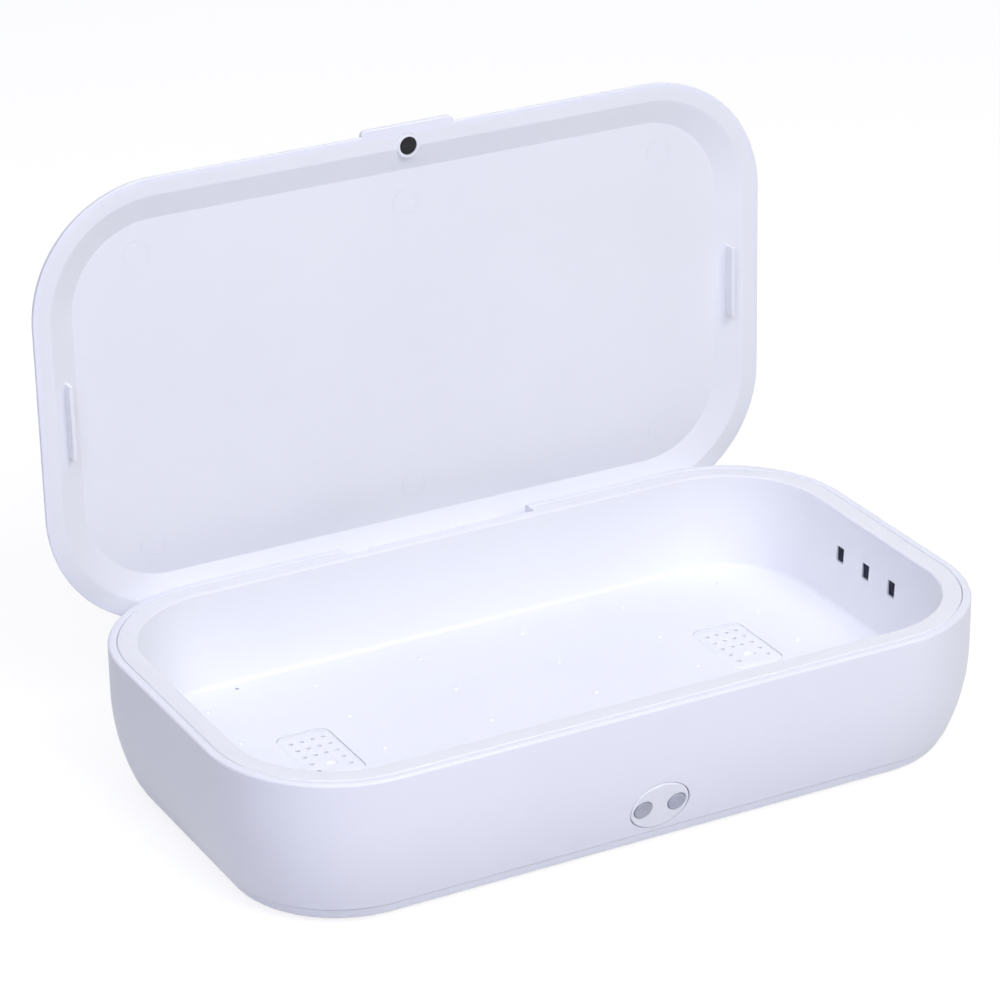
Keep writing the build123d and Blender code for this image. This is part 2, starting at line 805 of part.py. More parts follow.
# ---------------------------------------------------------------- control panel
button_places = {"left": (-button_spacing / 2, 0), "right": (button_spacing / 2, 0)}
post_places = [(0, -control_post_y), (0, control_post_y)]
with BuildPart() as control_plate:
    with BuildSketch(face_plane(0)):
        Ellipse(plate_half_width, plate_half_height)
    extrude(amount=-plate_lip_depth)
    fillet(control_plate.edges(Select.LAST).sort_by(Axis.Y)[0], plate_round)
    with BuildSketch(face_plane(plate_thickness)):
        Ellipse(plate_half_width + plate_lip, plate_half_height + plate_lip)
    extrude(amount=plate_thickness - plate_lip_depth)
    with BuildSketch(face_plane(plate_lip_depth)):
        with Locations(*post_places):
            Circle(control_post_radius)
    extrude(amount=plate_lip_depth - control_board_depth)
    with BuildSketch(face_plane(control_board_depth)):
        with Locations(*post_places):
            Circle(small_screw_radius + screw_fit)
    extrude(amount=control_screw_length, mode=Mode.SUBTRACT)
    with BuildSketch(face_plane(0)):
        with Locations(*button_places.values()):
            Circle(button_radius + button_clearance)
    extrude(amount=-plate_lip_depth, mode=Mode.SUBTRACT)
    with BuildSketch(face_plane(plate_thickness)):
        with Locations(*button_places.values()):
            Circle(button_radius + flange_overlap + flange_room)
    extrude(amount=plate_thickness - plate_lip_depth, mode=Mode.SUBTRACT)
control_plate.part.label = "control_plate"
export_step(control_plate.part, "parts/control_plate.step")

for side, place in button_places.items():
    with BuildPart() as button:
        with BuildSketch(face_plane(-button_proud)):
            with Locations(place):
                Circle(button_radius)
        extrude(amount=-button_proud - flange_back)
        fillet(button.edges(Select.LAST).sort_by(Axis.Y)[0], button_round)
        with BuildSketch(face_plane(flange_front)):
            with Locations(place):
                Circle(button_radius + flange_overlap)
        extrude(amount=flange_front - flange_back)
    button.part.label = "button_" + side
    export_step(button.part, "parts/button_" + side + ".step")

    with BuildPart() as plunger:
        with BuildSketch(face_plane(flange_back)):
            with Locations(place):
                Circle(plunger_radius)
        extrude(amount=flange_back - plunger_reach)
    plunger.part.label = "plunger_" + side
    export_step(plunger.part, "parts/plunger_" + side + ".step")

    with BuildPart() as switch:
        with BuildSketch(face_plane(switch_front)):
            with Locations(place):
                Rectangle(switch_size, switch_size)
        extrude(amount=switch_front - control_board_depth)
        with BuildSketch(face_plane(switch_front)):
            with Locations(place):
                Circle(plunger_radius + plunger_clearance)
        extrude(amount=-switch_well, mode=Mode.SUBTRACT)
    switch.part.label = "switch_" + side
    export_step(switch.part, "parts/switch_" + side + ".step")

with BuildPart() as control_board:
    with BuildSketch(face_plane(control_board_depth)):
        Rectangle(control_board_length, control_board_height)
        with Locations(*post_places):
            Circle(small_screw_radius + screw_fit, mode=Mode.SUBTRACT)
    extrude(amount=-control_board_thickness)
control_board.part.label = "control_board"
export_step(control_board.part, "parts/control_board.step")

control_back = control_board_depth + control_board_thickness
with BuildPart() as control_screws:
    with BuildSketch(face_plane(control_back)):
        with Locations(*post_places):
            Circle(small_screw_head_radius)
    extrude(amount=-small_screw_head_height)
    with BuildSketch(face_plane(control_back)):
        with Locations(*post_places):
            Circle(small_screw_radius)
    extrude(amount=control_board_thickness + control_screw_length - pin_end_gap)
control_screws.part.label = "control_screws"
export_step(control_screws.part, "parts/control_screws.step")

# ---------------------------------------------------------------- catch
with BuildPart() as catch_magnet:
    with BuildSketch(level(ledge_top)):
        with Locations((0, catch_inset + catch_width / 2 - half_width)):
            Rectangle(catch_length, catch_width)
    extrude(amount=-catch_height)
catch_magnet.part.label = "catch_magnet"
export_step(catch_magnet.part, "parts/catch_magnet.step")

with BuildPart() as lid_sensor:
    with BuildSketch(level(ledge_top)):
        with Locations((sensor_x, catch_inset + board_thickness / 2 - half_width)):
            Rectangle(sensor_board_length, board_thickness)
    extrude(amount=-sensor_board_height)
    with BuildSketch(level(ledge_top - sensor_board_height / 2)):
        with Locations((sensor_x, catch_inset + board_thickness - half_width)):
            Rectangle(chip_height * 2, 2 * board_thickness)
    extrude(amount=sensor_board_height / 3)
lid_sensor.part.label = "lid_sensor"
export_step(lid_sensor.part, "parts/lid_sensor.step")

# ---------------------------------------------------------------- wires
def wire(name, points):
    """A round wire through the points, with rounded bends; y counts from the box's centre."""
    with BuildPart() as strand:
        with BuildLine() as run:
            FilletPolyline(*[(x, base_y + y, z) for x, y, z in points], radius=wire_bend)
        with BuildSketch(Plane(origin=run.line @ 0, z_dir=run.line % 0)):
            Circle(wire_radius)
        sweep(path=run.line)
    strand.part.label = name
    export_step(strand.part, "parts/" + name + ".step")


board_edge_x = half_length - lamp_board_inset + board_thickness / 2
board_edge_z = window_z - lamp_board_height / 2
drop_x = board_edge_x - wire_lean
plug_z = board_top + wire_radius + wire_gap
front_plug_face = front_plug_y - connector_length / 2
left_plug_face = left_plug[0] - connector_length / 2
wire(
    "uv_wire_left",
    [
        (-board_edge_x, wire_row, board_edge_z),
        (-drop_x, wire_row, wire_turn),
        (-drop_x + wire_slope, wire_row, wire_low),
        (left_plug_face - 4 * wire_rise, wire_row, wire_low),
        (left_plug_face - 2 * wire_rise, main_board_y, plug_z),
        (left_plug_face, main_board_y, plug_z),
    ],
)
wire(
    "uv_wire_right",
    [
        (board_edge_x, wire_row, board_edge_z),
        (drop_x, wire_row, wire_turn),
        (drop_x - wire_slope, wire_row, wire_low),
        (main_board_x + plug_spread + 2 * wire_rise, wire_row, wire_low),
        (main_board_x + plug_spread, front_plug_face - wire_rise, plug_z),
        (main_board_x + plug_spread, front_plug_face, plug_z),
    ],
)
panel_depth = control_board_depth + control_board_thickness / 2
panel_end = Vector(*plate_origin) - Vector(*plate_normal) * panel_depth
panel_foot_y = panel_end.Y - base_y + control_board_height / 2 * sin(plate_tilt)
panel_foot_z = panel_end.Z - control_board_height / 2 * cos(plate_tilt)
wire(
    "control_wire",
    [
        (panel_wire_x, panel_foot_y, panel_foot_z),
        (
            panel_wire_x,
            panel_foot_y + wire_drop * sin(plate_tilt),
            panel_foot_z - wire_drop * cos(plate_tilt),
        ),
        (panel_wire_x, wire_row - wire_rise, wire_low + wire_step),
        (main_board_x - plug_spread, front_plug_face - wire_rise, plug_z),
        (main_board_x - plug_spread, front_plug_face, plug_z),
    ],
)

# ---------------------------------------------------------------- lid
# The cover is a shallow dome with a flat top.  The liner closes its underside, and
# carries the hinge leaf, the locating ribs and the ring of the magnet.
lid_up = (0, open_sin, open_cos)
lid_path = rim_path(lid_level(lid_rim))
dome_inner_width = lid_dome_width - lid_edge_wall
dome_inner_height = lid_height - lid_wall

with BuildPart() as lid_cover:
    with BuildSketch(across(lid_path, lid_up)):
        with BuildLine():
            EllipticalCenterArc((lid_dome_width, 0), lid_dome_width, lid_height, 90)
            Line((0, 0), (lid_edge_wall, 0))
            EllipticalCenterArc((lid_dome_width, 0), dome_inner_width, dome_inner_height, 90)
            Line((lid_dome_width, dome_inner_height), (lid_dome_width, lid_height))
        make_face()
    sweep(path=lid_path)
    with BuildSketch(lid_level(lid_top - lid_wall)):
        outline(lid_dome_width)
    extrude(amount=lid_wall)
    # thumb tab
    with BuildSketch(lid_level(lid_rim)) as tab:
        with Locations((0, (tab_root - tab_reach) / 2 - half_width)):
            Rectangle(tab_width, tab_reach + tab_root)
        fillet(tab.vertices().group_by(Axis.Y)[0], tab_round)
    extrude(amount=tab_thickness)
    # room for the magnet's ring and seat
    with BuildSketch(lid_level(lid_rim)):
        with Locations((0, magnet_inset - half_width)):
            Circle(magnet_radius + magnet_ring + lid_seam)
    extrude(amount=ring_height, mode=Mode.SUBTRACT)
    with BuildSketch(lid_level(lid_rim)):
        with Locations((0, magnet_inset - half_width)):
            Circle(magnet_radius + seat_wall + lid_seam)
    extrude(amount=seat_height + lid_seam, mode=Mode.SUBTRACT)
lid_cover.part.label = "lid_cover"
export_step(lid_cover.part, "parts/lid_cover.step")

liner_edge = lid_edge_wall + lid_seam
leaf_top = lid_rim - lid_seam - hinge_z
leaf_inner = knuckle_radius - leaf_thickness
knuckle_half = ear_inner - hinge_side_gap
leaf_half = hinge_half_width - hinge_side_gap
post_x = half_length - post_end_inset
post_y = half_width - post_side_inset
mark_places = [(ix * post_x, iy * post_y) for ix in (-1, 0, 1) for iy in (-1, 1)]
pan_top = lid_pan_depth + liner_thickness

with BuildPart() as lid_liner:
    with BuildSketch(across(lid_path, lid_up)):
        Polygon(
            (liner_edge, 0),
            (lid_rim_width, 0),
            (lid_pan_inset, lid_pan_depth),
            (lid_pan_inset + liner_thickness, lid_pan_depth),
            (lid_pan_inset + liner_thickness, pan_top),
            (lid_pan_inset - liner_thickness / 4, pan_top),
            (lid_rim_width - liner_back_step, liner_rim_thickness),
            (liner_edge, liner_rim_thickness),
            align=None,
        )
    sweep(path=lid_path)
    with BuildSketch(lid_level(lid_rim + lid_pan_depth)):
        outline(lid_pan_inset + liner_thickness / 2)
    extrude(amount=liner_thickness)
    with BuildSketch(lid_level(lid_rim + pan_top)):
        with Locations(*mark_places):
            Circle(post_radius - mark_width)
    extrude(amount=dome_inner_height - pan_top)
    with BuildSketch(lid_level(lid_rim + lid_pan_depth)):
        with Locations(*mark_places):
            Circle(post_radius)
            Circle(post_radius - mark_width, mode=Mode.SUBTRACT)
    extrude(amount=mark_depth, mode=Mode.SUBTRACT)
    # hinge leaf and knuckle
    with BuildSketch(lid_cross(-knuckle_half)):
        Circle(knuckle_radius)
        with Locations((knuckle_radius, 0)):
            Rectangle(leaf_thickness, leaf_top, align=(Align.MAX, Align.MIN))
    extrude(amount=2 * knuckle_half)
    with BuildSketch(lid_cross(-leaf_half)):
        with Locations((knuckle_radius, knuckle_radius + stop_gap)):
            Rectangle(
                leaf_thickness,
                leaf_top - knuckle_radius - stop_gap,
                align=(Align.MAX, Align.MIN),
            )
        with Locations((leaf_inner, leaf_top)):
            Rectangle(
                half_width - liner_edge - hinge_y - leaf_inner,
                lid_seam + liner_rim_thickness,
                align=(Align.MIN, Align.MIN),
            )
    extrude(amount=2 * leaf_half)
    with BuildSketch(lid_cross(-knuckle_half)):
        Circle(pin_radius + pin_running)
    extrude(amount=2 * knuckle_half, mode=Mode.SUBTRACT)
    # locating ribs
    with BuildSketch(lid_level(lid_rim - rib_height)):
        for side, sign in sides:
            with Locations((sign * (half_length - rib_inset - rib_thickness / 2), 0)):
                Rectangle(rib_thickness, rib_length)
    extrude(amount=rib_height + lid_pan_depth)
    # ring and seat of the magnet
    with BuildSketch(lid_level(lid_rim)):
        with Locations((0, magnet_inset - half_width)):
            Circle(magnet_radius + magnet_ring)
    extrude(amount=ring_height - lid_seam)
    with BuildSketch(lid_level(lid_rim)):
        with Locations((0, magnet_inset - half_width)):
            Circle(magnet_radius + seat_wall)
    extrude(amount=seat_height)
    with BuildSketch(lid_level(lid_rim)):
        with Locations((0, magnet_inset - half_width)):
            Circle(magnet_radius + screw_fit)
    extrude(amount=magnet_length, mode=Mode.SUBTRACT)
lid_liner.part.label = "lid_liner"
export_step(lid_liner.part, "parts/lid_liner.step")

with BuildPart() as lid_magnet:
    with BuildSketch(lid_level(lid_rim)):
        with Locations((0, magnet_inset - half_width)):
            Circle(magnet_radius)
    extrude(amount=magnet_length)
lid_magnet.part.label = "lid_magnet"
export_step(lid_magnet.part, "parts/lid_magnet.step")

with BuildPart() as hinge_pin:
    with BuildSketch(base_cross(-pin_length / 2)):
        Circle(pin_radius)
    extrude(amount=pin_length)
hinge_pin.part.label = "hinge_pin"
export_step(hinge_pin.part, "parts/hinge_pin.step")
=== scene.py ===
"""Looks of an ultraviolet phone sanitizer box: a moulded white box with a hinged lid.

Sizes are in millimetres and are turned into metres as each mesh is made.  +X runs along
the box to the right, +Y to the hinge side, +Z up.  Base pieces count y from the middle of
the box, and lid pieces are drawn in their closed place and then swung open.
"""
import math

import bmesh
import bpy
from mathutils import Matrix, Vector


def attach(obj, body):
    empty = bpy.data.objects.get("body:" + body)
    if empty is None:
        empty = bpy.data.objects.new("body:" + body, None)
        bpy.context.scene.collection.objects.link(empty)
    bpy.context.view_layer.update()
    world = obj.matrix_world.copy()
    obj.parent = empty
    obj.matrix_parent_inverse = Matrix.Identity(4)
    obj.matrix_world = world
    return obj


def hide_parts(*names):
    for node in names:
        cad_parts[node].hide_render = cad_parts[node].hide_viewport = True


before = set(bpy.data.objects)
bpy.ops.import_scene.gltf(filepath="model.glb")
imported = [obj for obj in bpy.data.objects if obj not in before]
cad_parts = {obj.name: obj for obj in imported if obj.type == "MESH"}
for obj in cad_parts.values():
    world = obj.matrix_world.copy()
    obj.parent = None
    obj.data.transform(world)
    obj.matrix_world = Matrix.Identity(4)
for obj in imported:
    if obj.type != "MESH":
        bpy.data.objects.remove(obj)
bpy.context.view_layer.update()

# ---------------------------------------------------------------- outer shell
# The outer wall of the box is one ring, injection-moulded in white ABS with a satin
# spark-eroded skin.  It is upright at the rim and curves in towards the table, and two
# ears in its back wall hold the hinge pin.  The bottom cover clamps it under the tray.
box_length = 220.0
box_width = 125.6
corner_radius = 36.0
half_length = box_length / 2
half_width = box_width / 2
box_middle_y = -9.4717
underside = 1.0
rim = 43.0
shell_wall = 2.4
upright_foot = 29.5
side_curve = 60.0
shell_foot = 5.5
rim_round = 0.8
shell_lip_round = 0.25
flange_thickness = 2.0
ledge_inset = 4.4
ledge_foot = 39.4
ledge_root = 37.4
hinge_y = 60.0
hinge_z = 32.6
knuckle_radius = 2.8
notch_half = 29.0
notch_depth = 4.7
notch_foot = 29.45
notch_round = 0.6
ear_inner = 24.6
ear_outer = 31.4
ear_foot = -4.15
ear_steps = 20
pin_bore = 1.22
plate_z = 13.9
plate_half_width = 8.5
plate_half_height = 7.1
plate_gap = 0.25
plate_lip = 1.0
plate_lip_front = 1.6
plate_lip_back = 2.4
socket_x = 50.0
socket_z = 9.8
socket_width = 9.0
socket_height = 3.2
socket_gap = 0.3
socket_hole_radius = 1.6
corner_steps = 32


def plane(origin, right, out):
    """Frame with its x along right and its z along out, in mm about the box's middle."""
    right, out = Vector(right), Vector(out)
    turn = Matrix((right, out.cross(right), out)).transposed().to_4x4()
    return Matrix.Translation(Vector(origin) + Vector((0, box_middle_y, 0))) @ turn


def level(x=0.0, y=0.0, z=0.0):
    """Horizontal frame of the base, looking up."""
    return plane((x, y, z), (1, 0, 0), (0, 0, 1))


def across(x):
    """Frame across the box at x: its x runs to the back and its y up from the hinge axis."""
    return plane((x, hinge_y, hinge_z), (0, 1, 0), (1, 0, 0))


def rounded_box(length, width, radius, steps=corner_steps, stride=4.0):
    """Outline of a rectangle with round corners and strides along its straights."""
    def outline(inset):
        r = max(radius - inset, 0.02)
        x, y = length / 2 - inset - r, width / 2 - inset - r
        points = []
        for corner, (sx, sy) in enumerate(((1, 1), (-1, 1), (-1, -1), (1, -1))):
            for step in range(steps + 1):
                angle = math.pi / 2 * (corner + step / steps)
                points.append((sx * x + r * math.cos(angle), sy * y + r * math.sin(angle)))
            straight = (length if corner % 2 == 0 else width) - 2 * radius
            strides = max(int(straight / stride), 1)
            run_x, run_y = ((-2 * sx * x, 0) if corner % 2 == 0 else (0, -2 * sy * y))
            start_x, start_y = points[-1]
            points += [(start_x + run_x * stop / strides, start_y + run_y * stop / strides)
                       for stop in range(1, strides)]
        return points
    return outline


def oval(half_x, half_y, steps=72):
    """Outline of an ellipse, to be drawn in by an inset."""
    def outline(inset):
        turns = [2 * math.pi * step / steps for step in range(steps)]
        return [((half_x - inset) * math.cos(t), (half_y - inset) * math.sin(t)) for t in turns]
    return outline


def shape(*points):
    """Outline through fixed points."""
    return lambda inset: list(points)


def rounded(*corners, steps=6):
    """Line through (inset, height) corners, with an arc at each that also has a radius."""
    line = []
    for place, corner in enumerate(corners):
        here = Vector(corner[:2])
        if len(corner) == 2:
            line.append(tuple(here))
            continue
        before = (Vector(corners[place - 1][:2]) - here).normalized()
        after = (Vector(corners[(place + 1) % len(corners)][:2]) - here).normalized()
        half = before.angle(after) / 2
        centre = here + (before + after).normalized() * corner[2] / math.sin(half)
        reach = corner[2] / math.tan(half)
        start, end = here + before * reach - centre, here + after * reach - centre
        turns = [start.slerp(end, step / steps).normalized() for step in range(steps + 1)]
        line += [tuple(centre + turn * corner[2]) for turn in turns]
    return line


def moulding(name, outline, heights, where, ring=False):
    """Closed mesh over an outline drawn in at each (inset, height); a ring joins its ends."""
    loops = [[where @ Vector((x, y, height)) for x, y in outline(inset)]
             for inset, height in heights]
    body = bmesh.new()
    rows = [[body.verts.new(point / 1000) for point in loop] for loop in loops]
    count = len(rows[0])
    pairs = list(zip(rows, rows[1:])) + ([(rows[-1], rows[0])] if ring else [])
    for lower, upper in pairs:
        for i in range(count):
            j = (i + 1) % count
            body.faces.new((lower[i], lower[j], upper[j], upper[i]))
    if not ring:
        body.faces.new(rows[0])
        body.faces.new(rows[-1])
    bmesh.ops.recalc_face_normals(body, faces=body.faces)
    mesh = bpy.data.meshes.new(name)
    body.to_mesh(mesh)
    body.free()
    piece = bpy.data.objects.new(name, mesh)
    bpy.context.scene.collection.objects.link(piece)
    return piece


def bar(outline, start, end, where):
    """Straight tool shape between two heights of a frame."""
    return moulding("tool", outline, [(0, start), (0, end)], where)


def work(piece, how, tools):
    """Cuts tool shapes out of a piece, or fuses them on, and removes the tools."""
    for tool in tools:
        step = piece.modifiers.new("step", "BOOLEAN")
        step.operation, step.solver, step.object = how, "EXACT", tool
        seen = bpy.context.evaluated_depsgraph_get()
        worked = bpy.data.meshes.new_from_object(piece.evaluated_get(seen))
        piece.modifiers.clear()
        old, piece.data = piece.data, worked
        bpy.data.meshes.remove(old)
        bpy.data.objects.remove(tool)
    piece.data.name = piece.name


def cut(piece, *tools):
    work(piece, "DIFFERENCE", tools)


def fuse(piece, *tools):
    work(piece, "UNION", tools)


def dress(piece, material, crease=35.0):
    """Smooth shading that breaks at creases, and one finish all over."""
    piece.data.shade_smooth()
    piece.data.set_sharp_from_angle(angle=math.radians(crease))
    piece.data.materials.clear()
    piece.data.materials.append(material)


def node(tree, kind, **sockets):
    """New shader node with values on its sockets by name."""
    made = tree.nodes.new("ShaderNode" + kind)
    for name, value in sockets.items():
        made.inputs[name.replace("_", " ")].default_value = value
    return made


def finish(name, tones, sheen, patch, grain, depth, stretch=(1, 1, 1), **sockets):
    """Material with cloudy tones and sheen, patch metres wide, and a grain in relief."""
    made = bpy.data.materials.new(name)
    made.use_nodes = True
    tree = made.node_tree
    skin = tree.nodes["Principled BSDF"]
    for socket, value in sockets.items():
        skin.inputs[socket.replace("_", " ")].default_value = value
    place = node(tree, "TexCoord")
    run = node(tree, "Mapping", Scale=stretch)
    tree.links.new(place.outputs["Object"], run.inputs["Vector"])
    cloud = node(tree, "TexNoise", Scale=1 / patch, Detail=4.0, Roughness=0.6)
    ramp = node(tree, "ValToRGB")
    for stop, (at, tone) in zip(ramp.color_ramp.elements, zip((0.35, 0.65), tones)):
        stop.position, stop.color = at, (*tone, 1)
    gloss = node(tree, "MapRange", To_Min=sheen[0], To_Max=sheen[1])
    pores = node(tree, "TexNoise", Scale=1 / grain, Detail=3.0, Roughness=0.55)
    relief = node(tree, "Bump", Strength=1.0, Distance=depth)
    for texture in (cloud, pores):
        tree.links.new(run.outputs["Vector"], texture.inputs["Vector"])
    tree.links.new(cloud.outputs["Fac"], ramp.inputs["Fac"])
    tree.links.new(ramp.outputs["Color"], skin.inputs["Base Color"])
    tree.links.new(cloud.outputs["Fac"], gloss.inputs["Value"])
    tree.links.new(gloss.outputs["Result"], skin.inputs["Roughness"])
    tree.links.new(pores.outputs["Fac"], relief.inputs["Height"])
    tree.links.new(relief.outputs["Normal"], skin.inputs["Normal"])
    return made


# White ABS of the shell, lid dome and bottom cover.  Its tones are bluer than the tray's white,
# and that extra blue is painted shade: it stands in for the blue cast of the fill light on the
# shaded outer walls.
white_shell_painted_blue_shade = finish(
    "satin white ABS of the shell with painted blue shade",
    tones=((0.862, 0.875, 0.945), (0.880, 0.892, 0.960)),
    sheen=(0.34, 0.44), patch=0.045, grain=0.00045, depth=0.000012,
)


def side_inset(z, radius=side_curve):
    """How far the curved side stands in at height z."""
    drop = max(upright_foot - z, 0)
    return radius - math.sqrt(radius ** 2 - drop ** 2)


side_steps = 14
side_heights = [shell_foot + (upright_foot - shell_foot) * i / side_steps
                for i in range(side_steps + 1)]
plate_tilt = math.asin((upright_foot - plate_z) / side_curve)
plate_face = plane(
    (0, side_inset(plate_z) - half_width, plate_z),
    (1, 0, 0),
    (0, -math.cos(plate_tilt), -math.sin(plate_tilt)),
)
socket_mouth = plane((socket_x, half_width, socket_z), (-1, 0, 0), (0, 1, 0))

box_outline = rounded_box(box_length, box_width, corner_radius)
shell = moulding(
    "shell_wall",
    box_outline,
    [(side_inset(z), z) for z in side_heights]
    + rounded((0, upright_foot), (0, rim, rim_round), (shell_wall, rim, shell_lip_round))[1:]
    + [(shell_wall, rim - flange_thickness), (ledge_inset, rim - flange_thickness),
       (ledge_inset, ledge_foot), (shell_wall, ledge_root)]
    + [(shell_wall + side_inset(z, side_curve + shell_wall), z)
       for z in reversed(side_heights)],
    level(),
    ring=True,
)
notch = rounded((-notch_half, rim + 1), (-notch_half, notch_foot, notch_round),
                (notch_half, notch_foot, notch_round), (notch_half, rim + 1))
cut(shell, bar(shape(*[(-x, z) for x, z in notch]), -notch_depth, 1,
               plane((0, half_width, 0), (-1, 0, 0), (0, 1, 0))))
arch = [(knuckle_radius * math.cos(a), knuckle_radius * math.sin(a))
        for a in [math.pi * i / ear_steps for i in range(ear_steps + 1)]]
ear = shape(*arch, (-knuckle_radius, ear_foot), (knuckle_radius, ear_foot))
fuse(shell, *[bar(ear, sign * ear_inner, sign * ear_outer, across(0)) for sign in (-1, 1)])
cut(
    shell,
    bar(oval(pin_bore, pin_bore, 24), -ear_outer, ear_outer, across(0)),
    bar(oval(plate_half_width + plate_gap, plate_half_height + plate_gap), -6, 3, plate_face),
    bar(oval(plate_half_width + plate_lip + plate_gap, plate_half_height + plate_lip + plate_gap),
        -10, -plate_lip_front, plate_face),
    bar(rounded_box(socket_width + 2 * socket_gap, socket_height + 2 * socket_gap,
                    socket_hole_radius, 10), -12, 1, socket_mouth),
)
dress(shell, white_shell_painted_blue_shade)
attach(shell, "base")
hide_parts("outer_shell")

# ---------------------------------------------------------------- tray
# The liner of the box is one white ABS moulding, dropped in from above: a flange flush
# with the rim, drafted walls with three lamp windows in each end, and a floor with small
# stand-off bumps and a pocket for a scent pad at each side.  Below a shallow groove the
# flange all but fills the shell's mouth.
flange_edge = 2.7
flange_foot = 2.45
flange_round = 0.15
groove_depth = 0.4
mouth_inset = 7.8
mouth_round = 0.7
tray_wall = 1.8
tray_floor = 15.2
tray_underside = 13.4
tray_floor_round = 1.5
draft = math.tan(math.radians(4.0))
window_z = 30.7
window_y = (-12.7, 0.0, 12.7)
window_width = 3.4
window_height = 4.6
lamp_seat_inset = 5.8
lamp_seat_length = 40.0
lamp_seat_height = 11.0
lamp_seat_thickness = 2.1
lamp_screw_y = 17.0
lamp_screw_bore = 0.85
lamp_screw_depth = 1.9
cover_x = 63.6
cover_y = 5.4
cover_width = 14.8
cover_length = 26.0
cover_radius = 3.0
cover_thickness = 1.3
cover_gap = 0.3
pocket_width = 12.4
pocket_length = 23.6
pocket_radius = 1.8
pocket_floor = 10.5
pocket_box_width = 16.0
pocket_box_length = 27.2
pocket_underside = 9.0
leaf_slot_length = 58.0
leaf_slot_width = 8.4
stop_slot_length = 7.0
stop_slot_width = 10.4
stop_slot_x = 25.5
slot_round = 0.3
screw_boss_radius = 3.4
screw_boss_bore = 1.15
screw_bore_top = 13.0
bottom_screw_places = [(sx * 86.0, sy * 23.0) for sx in (-1, 1) for sy in (-1, 1)]
bump_radius = 0.9
bump_height = 0.5
bump_steps = 8
bump_pitch_x = 15.9
bump_pitch_y = 20.6
pinhole_radius = 0.6
pinhole_place = (-67.0, 49.8)
weld = 0.9


def end(sign, inset, y=0.0):
    """Upright frame at the window row of one end wall, inset from the end, looking out."""
    return plane((sign * (half_length - inset), y, window_z), (0, sign, 0), (sign, 0, 0))


def together(tools):
    """Joins tool shapes that stand apart into one."""
    first, *others = tools
    joined = bmesh.new()
    for tool in tools:
        joined.from_mesh(tool.data)
    joined.to_mesh(first.data)
    joined.free()
    for tool in others:
        bpy.data.objects.remove(tool)
    return first


white_liner = finish(
    "satin white ABS of the tray",
    tones=((0.858, 0.870, 0.912), (0.876, 0.888, 0.926)),
    sheen=(0.30, 0.40), patch=0.06, grain=0.0004, depth=0.000008,
)
tray = moulding(
    "tray",
    box_outline,
    rounded(
        (14, tray_floor),
        (mouth_inset + (rim - tray_floor) * draft, tray_floor, tray_floor_round),
        (mouth_inset, rim, mouth_round),
        (flange_edge, rim, flange_round),
        (flange_foot, rim - groove_depth),
        (flange_foot, rim - flange_thickness),
        (mouth_inset - tray_wall + flange_thickness * draft, rim - flange_thickness),
        (mouth_inset - tray_wall + (rim - tray_underside) * draft, tray_underside),
    ),
    level(),
)
cut(
    tray,
    bar(rounded_box(leaf_slot_length, leaf_slot_width, slot_round, 3),
        rim - flange_thickness - 0.1, rim + 1, level(0, half_width)),
    *[bar(rounded_box(stop_slot_length, stop_slot_width, slot_round, 3),
          rim - flange_thickness - 0.1, rim + 1, level(sign * stop_slot_x, half_width))
      for sign in (-1, 1)],
)
fuse(tray, *[bar(rounded_box(lamp_seat_length, lamp_seat_height, slot_round, 3),
                 -lamp_seat_thickness, 0, end(sign, lamp_seat_inset)) for sign in (-1, 1)])
fuse(tray, together([bar(rounded_box(pocket_box_width, pocket_box_length, cover_radius, 8),
                         pocket_underside, tray_underside + weld,
                         level(sign * cover_x, cover_y)) for sign in (-1, 1)]))
fuse(tray, together([bar(oval(screw_boss_radius, screw_boss_radius, 32), underside + 2,
                         tray_underside + weld, level(x, y)) for x, y in bottom_screw_places]))
cut(tray, together([bar(oval(screw_boss_bore, screw_boss_bore, 24), underside + 1,
                        screw_bore_top, level(x, y)) for x, y in bottom_screw_places]))
cut(tray, together([bar(rounded_box(window_width, window_height, 0.25, 4), -5, 1,
                        end(sign, lamp_seat_inset, y)) for sign in (-1, 1) for y in window_y]))
cut(tray, together([bar(oval(lamp_screw_bore, lamp_screw_bore, 16), -lamp_screw_depth, 1,
                        end(sign, lamp_seat_inset, y))
                    for sign in (-1, 1) for y in (-lamp_screw_y, lamp_screw_y)]))
cut(tray, together([bar(rounded_box(cover_width + 2 * cover_gap, cover_length + 2 * cover_gap,
                                    cover_radius + cover_gap, 12),
                        tray_floor - cover_thickness, tray_floor + 1,
                        level(sign * cover_x, cover_y)) for sign in (-1, 1)]))
cut(tray, together([bar(rounded_box(pocket_width, pocket_length, pocket_radius, 8),
                        pocket_floor, tray_floor, level(sign * cover_x, cover_y))
                    for sign in (-1, 1)]))
cut(tray, bar(oval(pinhole_radius, pinhole_radius, 24), tray_underside - 1, tray_floor + 1,
              level(*pinhole_place)))
bump_ball = (bump_radius ** 2 + bump_height ** 2) / (2 * bump_height)
bump_angle = math.asin(bump_radius / bump_ball)
dome = [(bump_radius - bump_ball * math.sin(a), bump_height - bump_ball * (1 - math.cos(a)))
        for a in [bump_angle * (bump_steps - i) / bump_steps for i in range(bump_steps)]]
bump_places = [(bump_pitch_x * column, bump_pitch_y * row)
               for column in (-5, -3, -1, 1, 3, 5) for row in (-2, -1, 0, 1, 2)]
fuse(tray, together([
    moulding("tool", oval(bump_radius, bump_radius, 24), [(0, -0.4), *dome],
             level(x, y, tray_floor))
    for x, y in bump_places
    if abs(abs(x) - cover_x) > cover_width or abs(y - cover_y) > cover_length
]))
dress(tray, white_liner)
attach(tray, "base")
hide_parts("inner_tray")

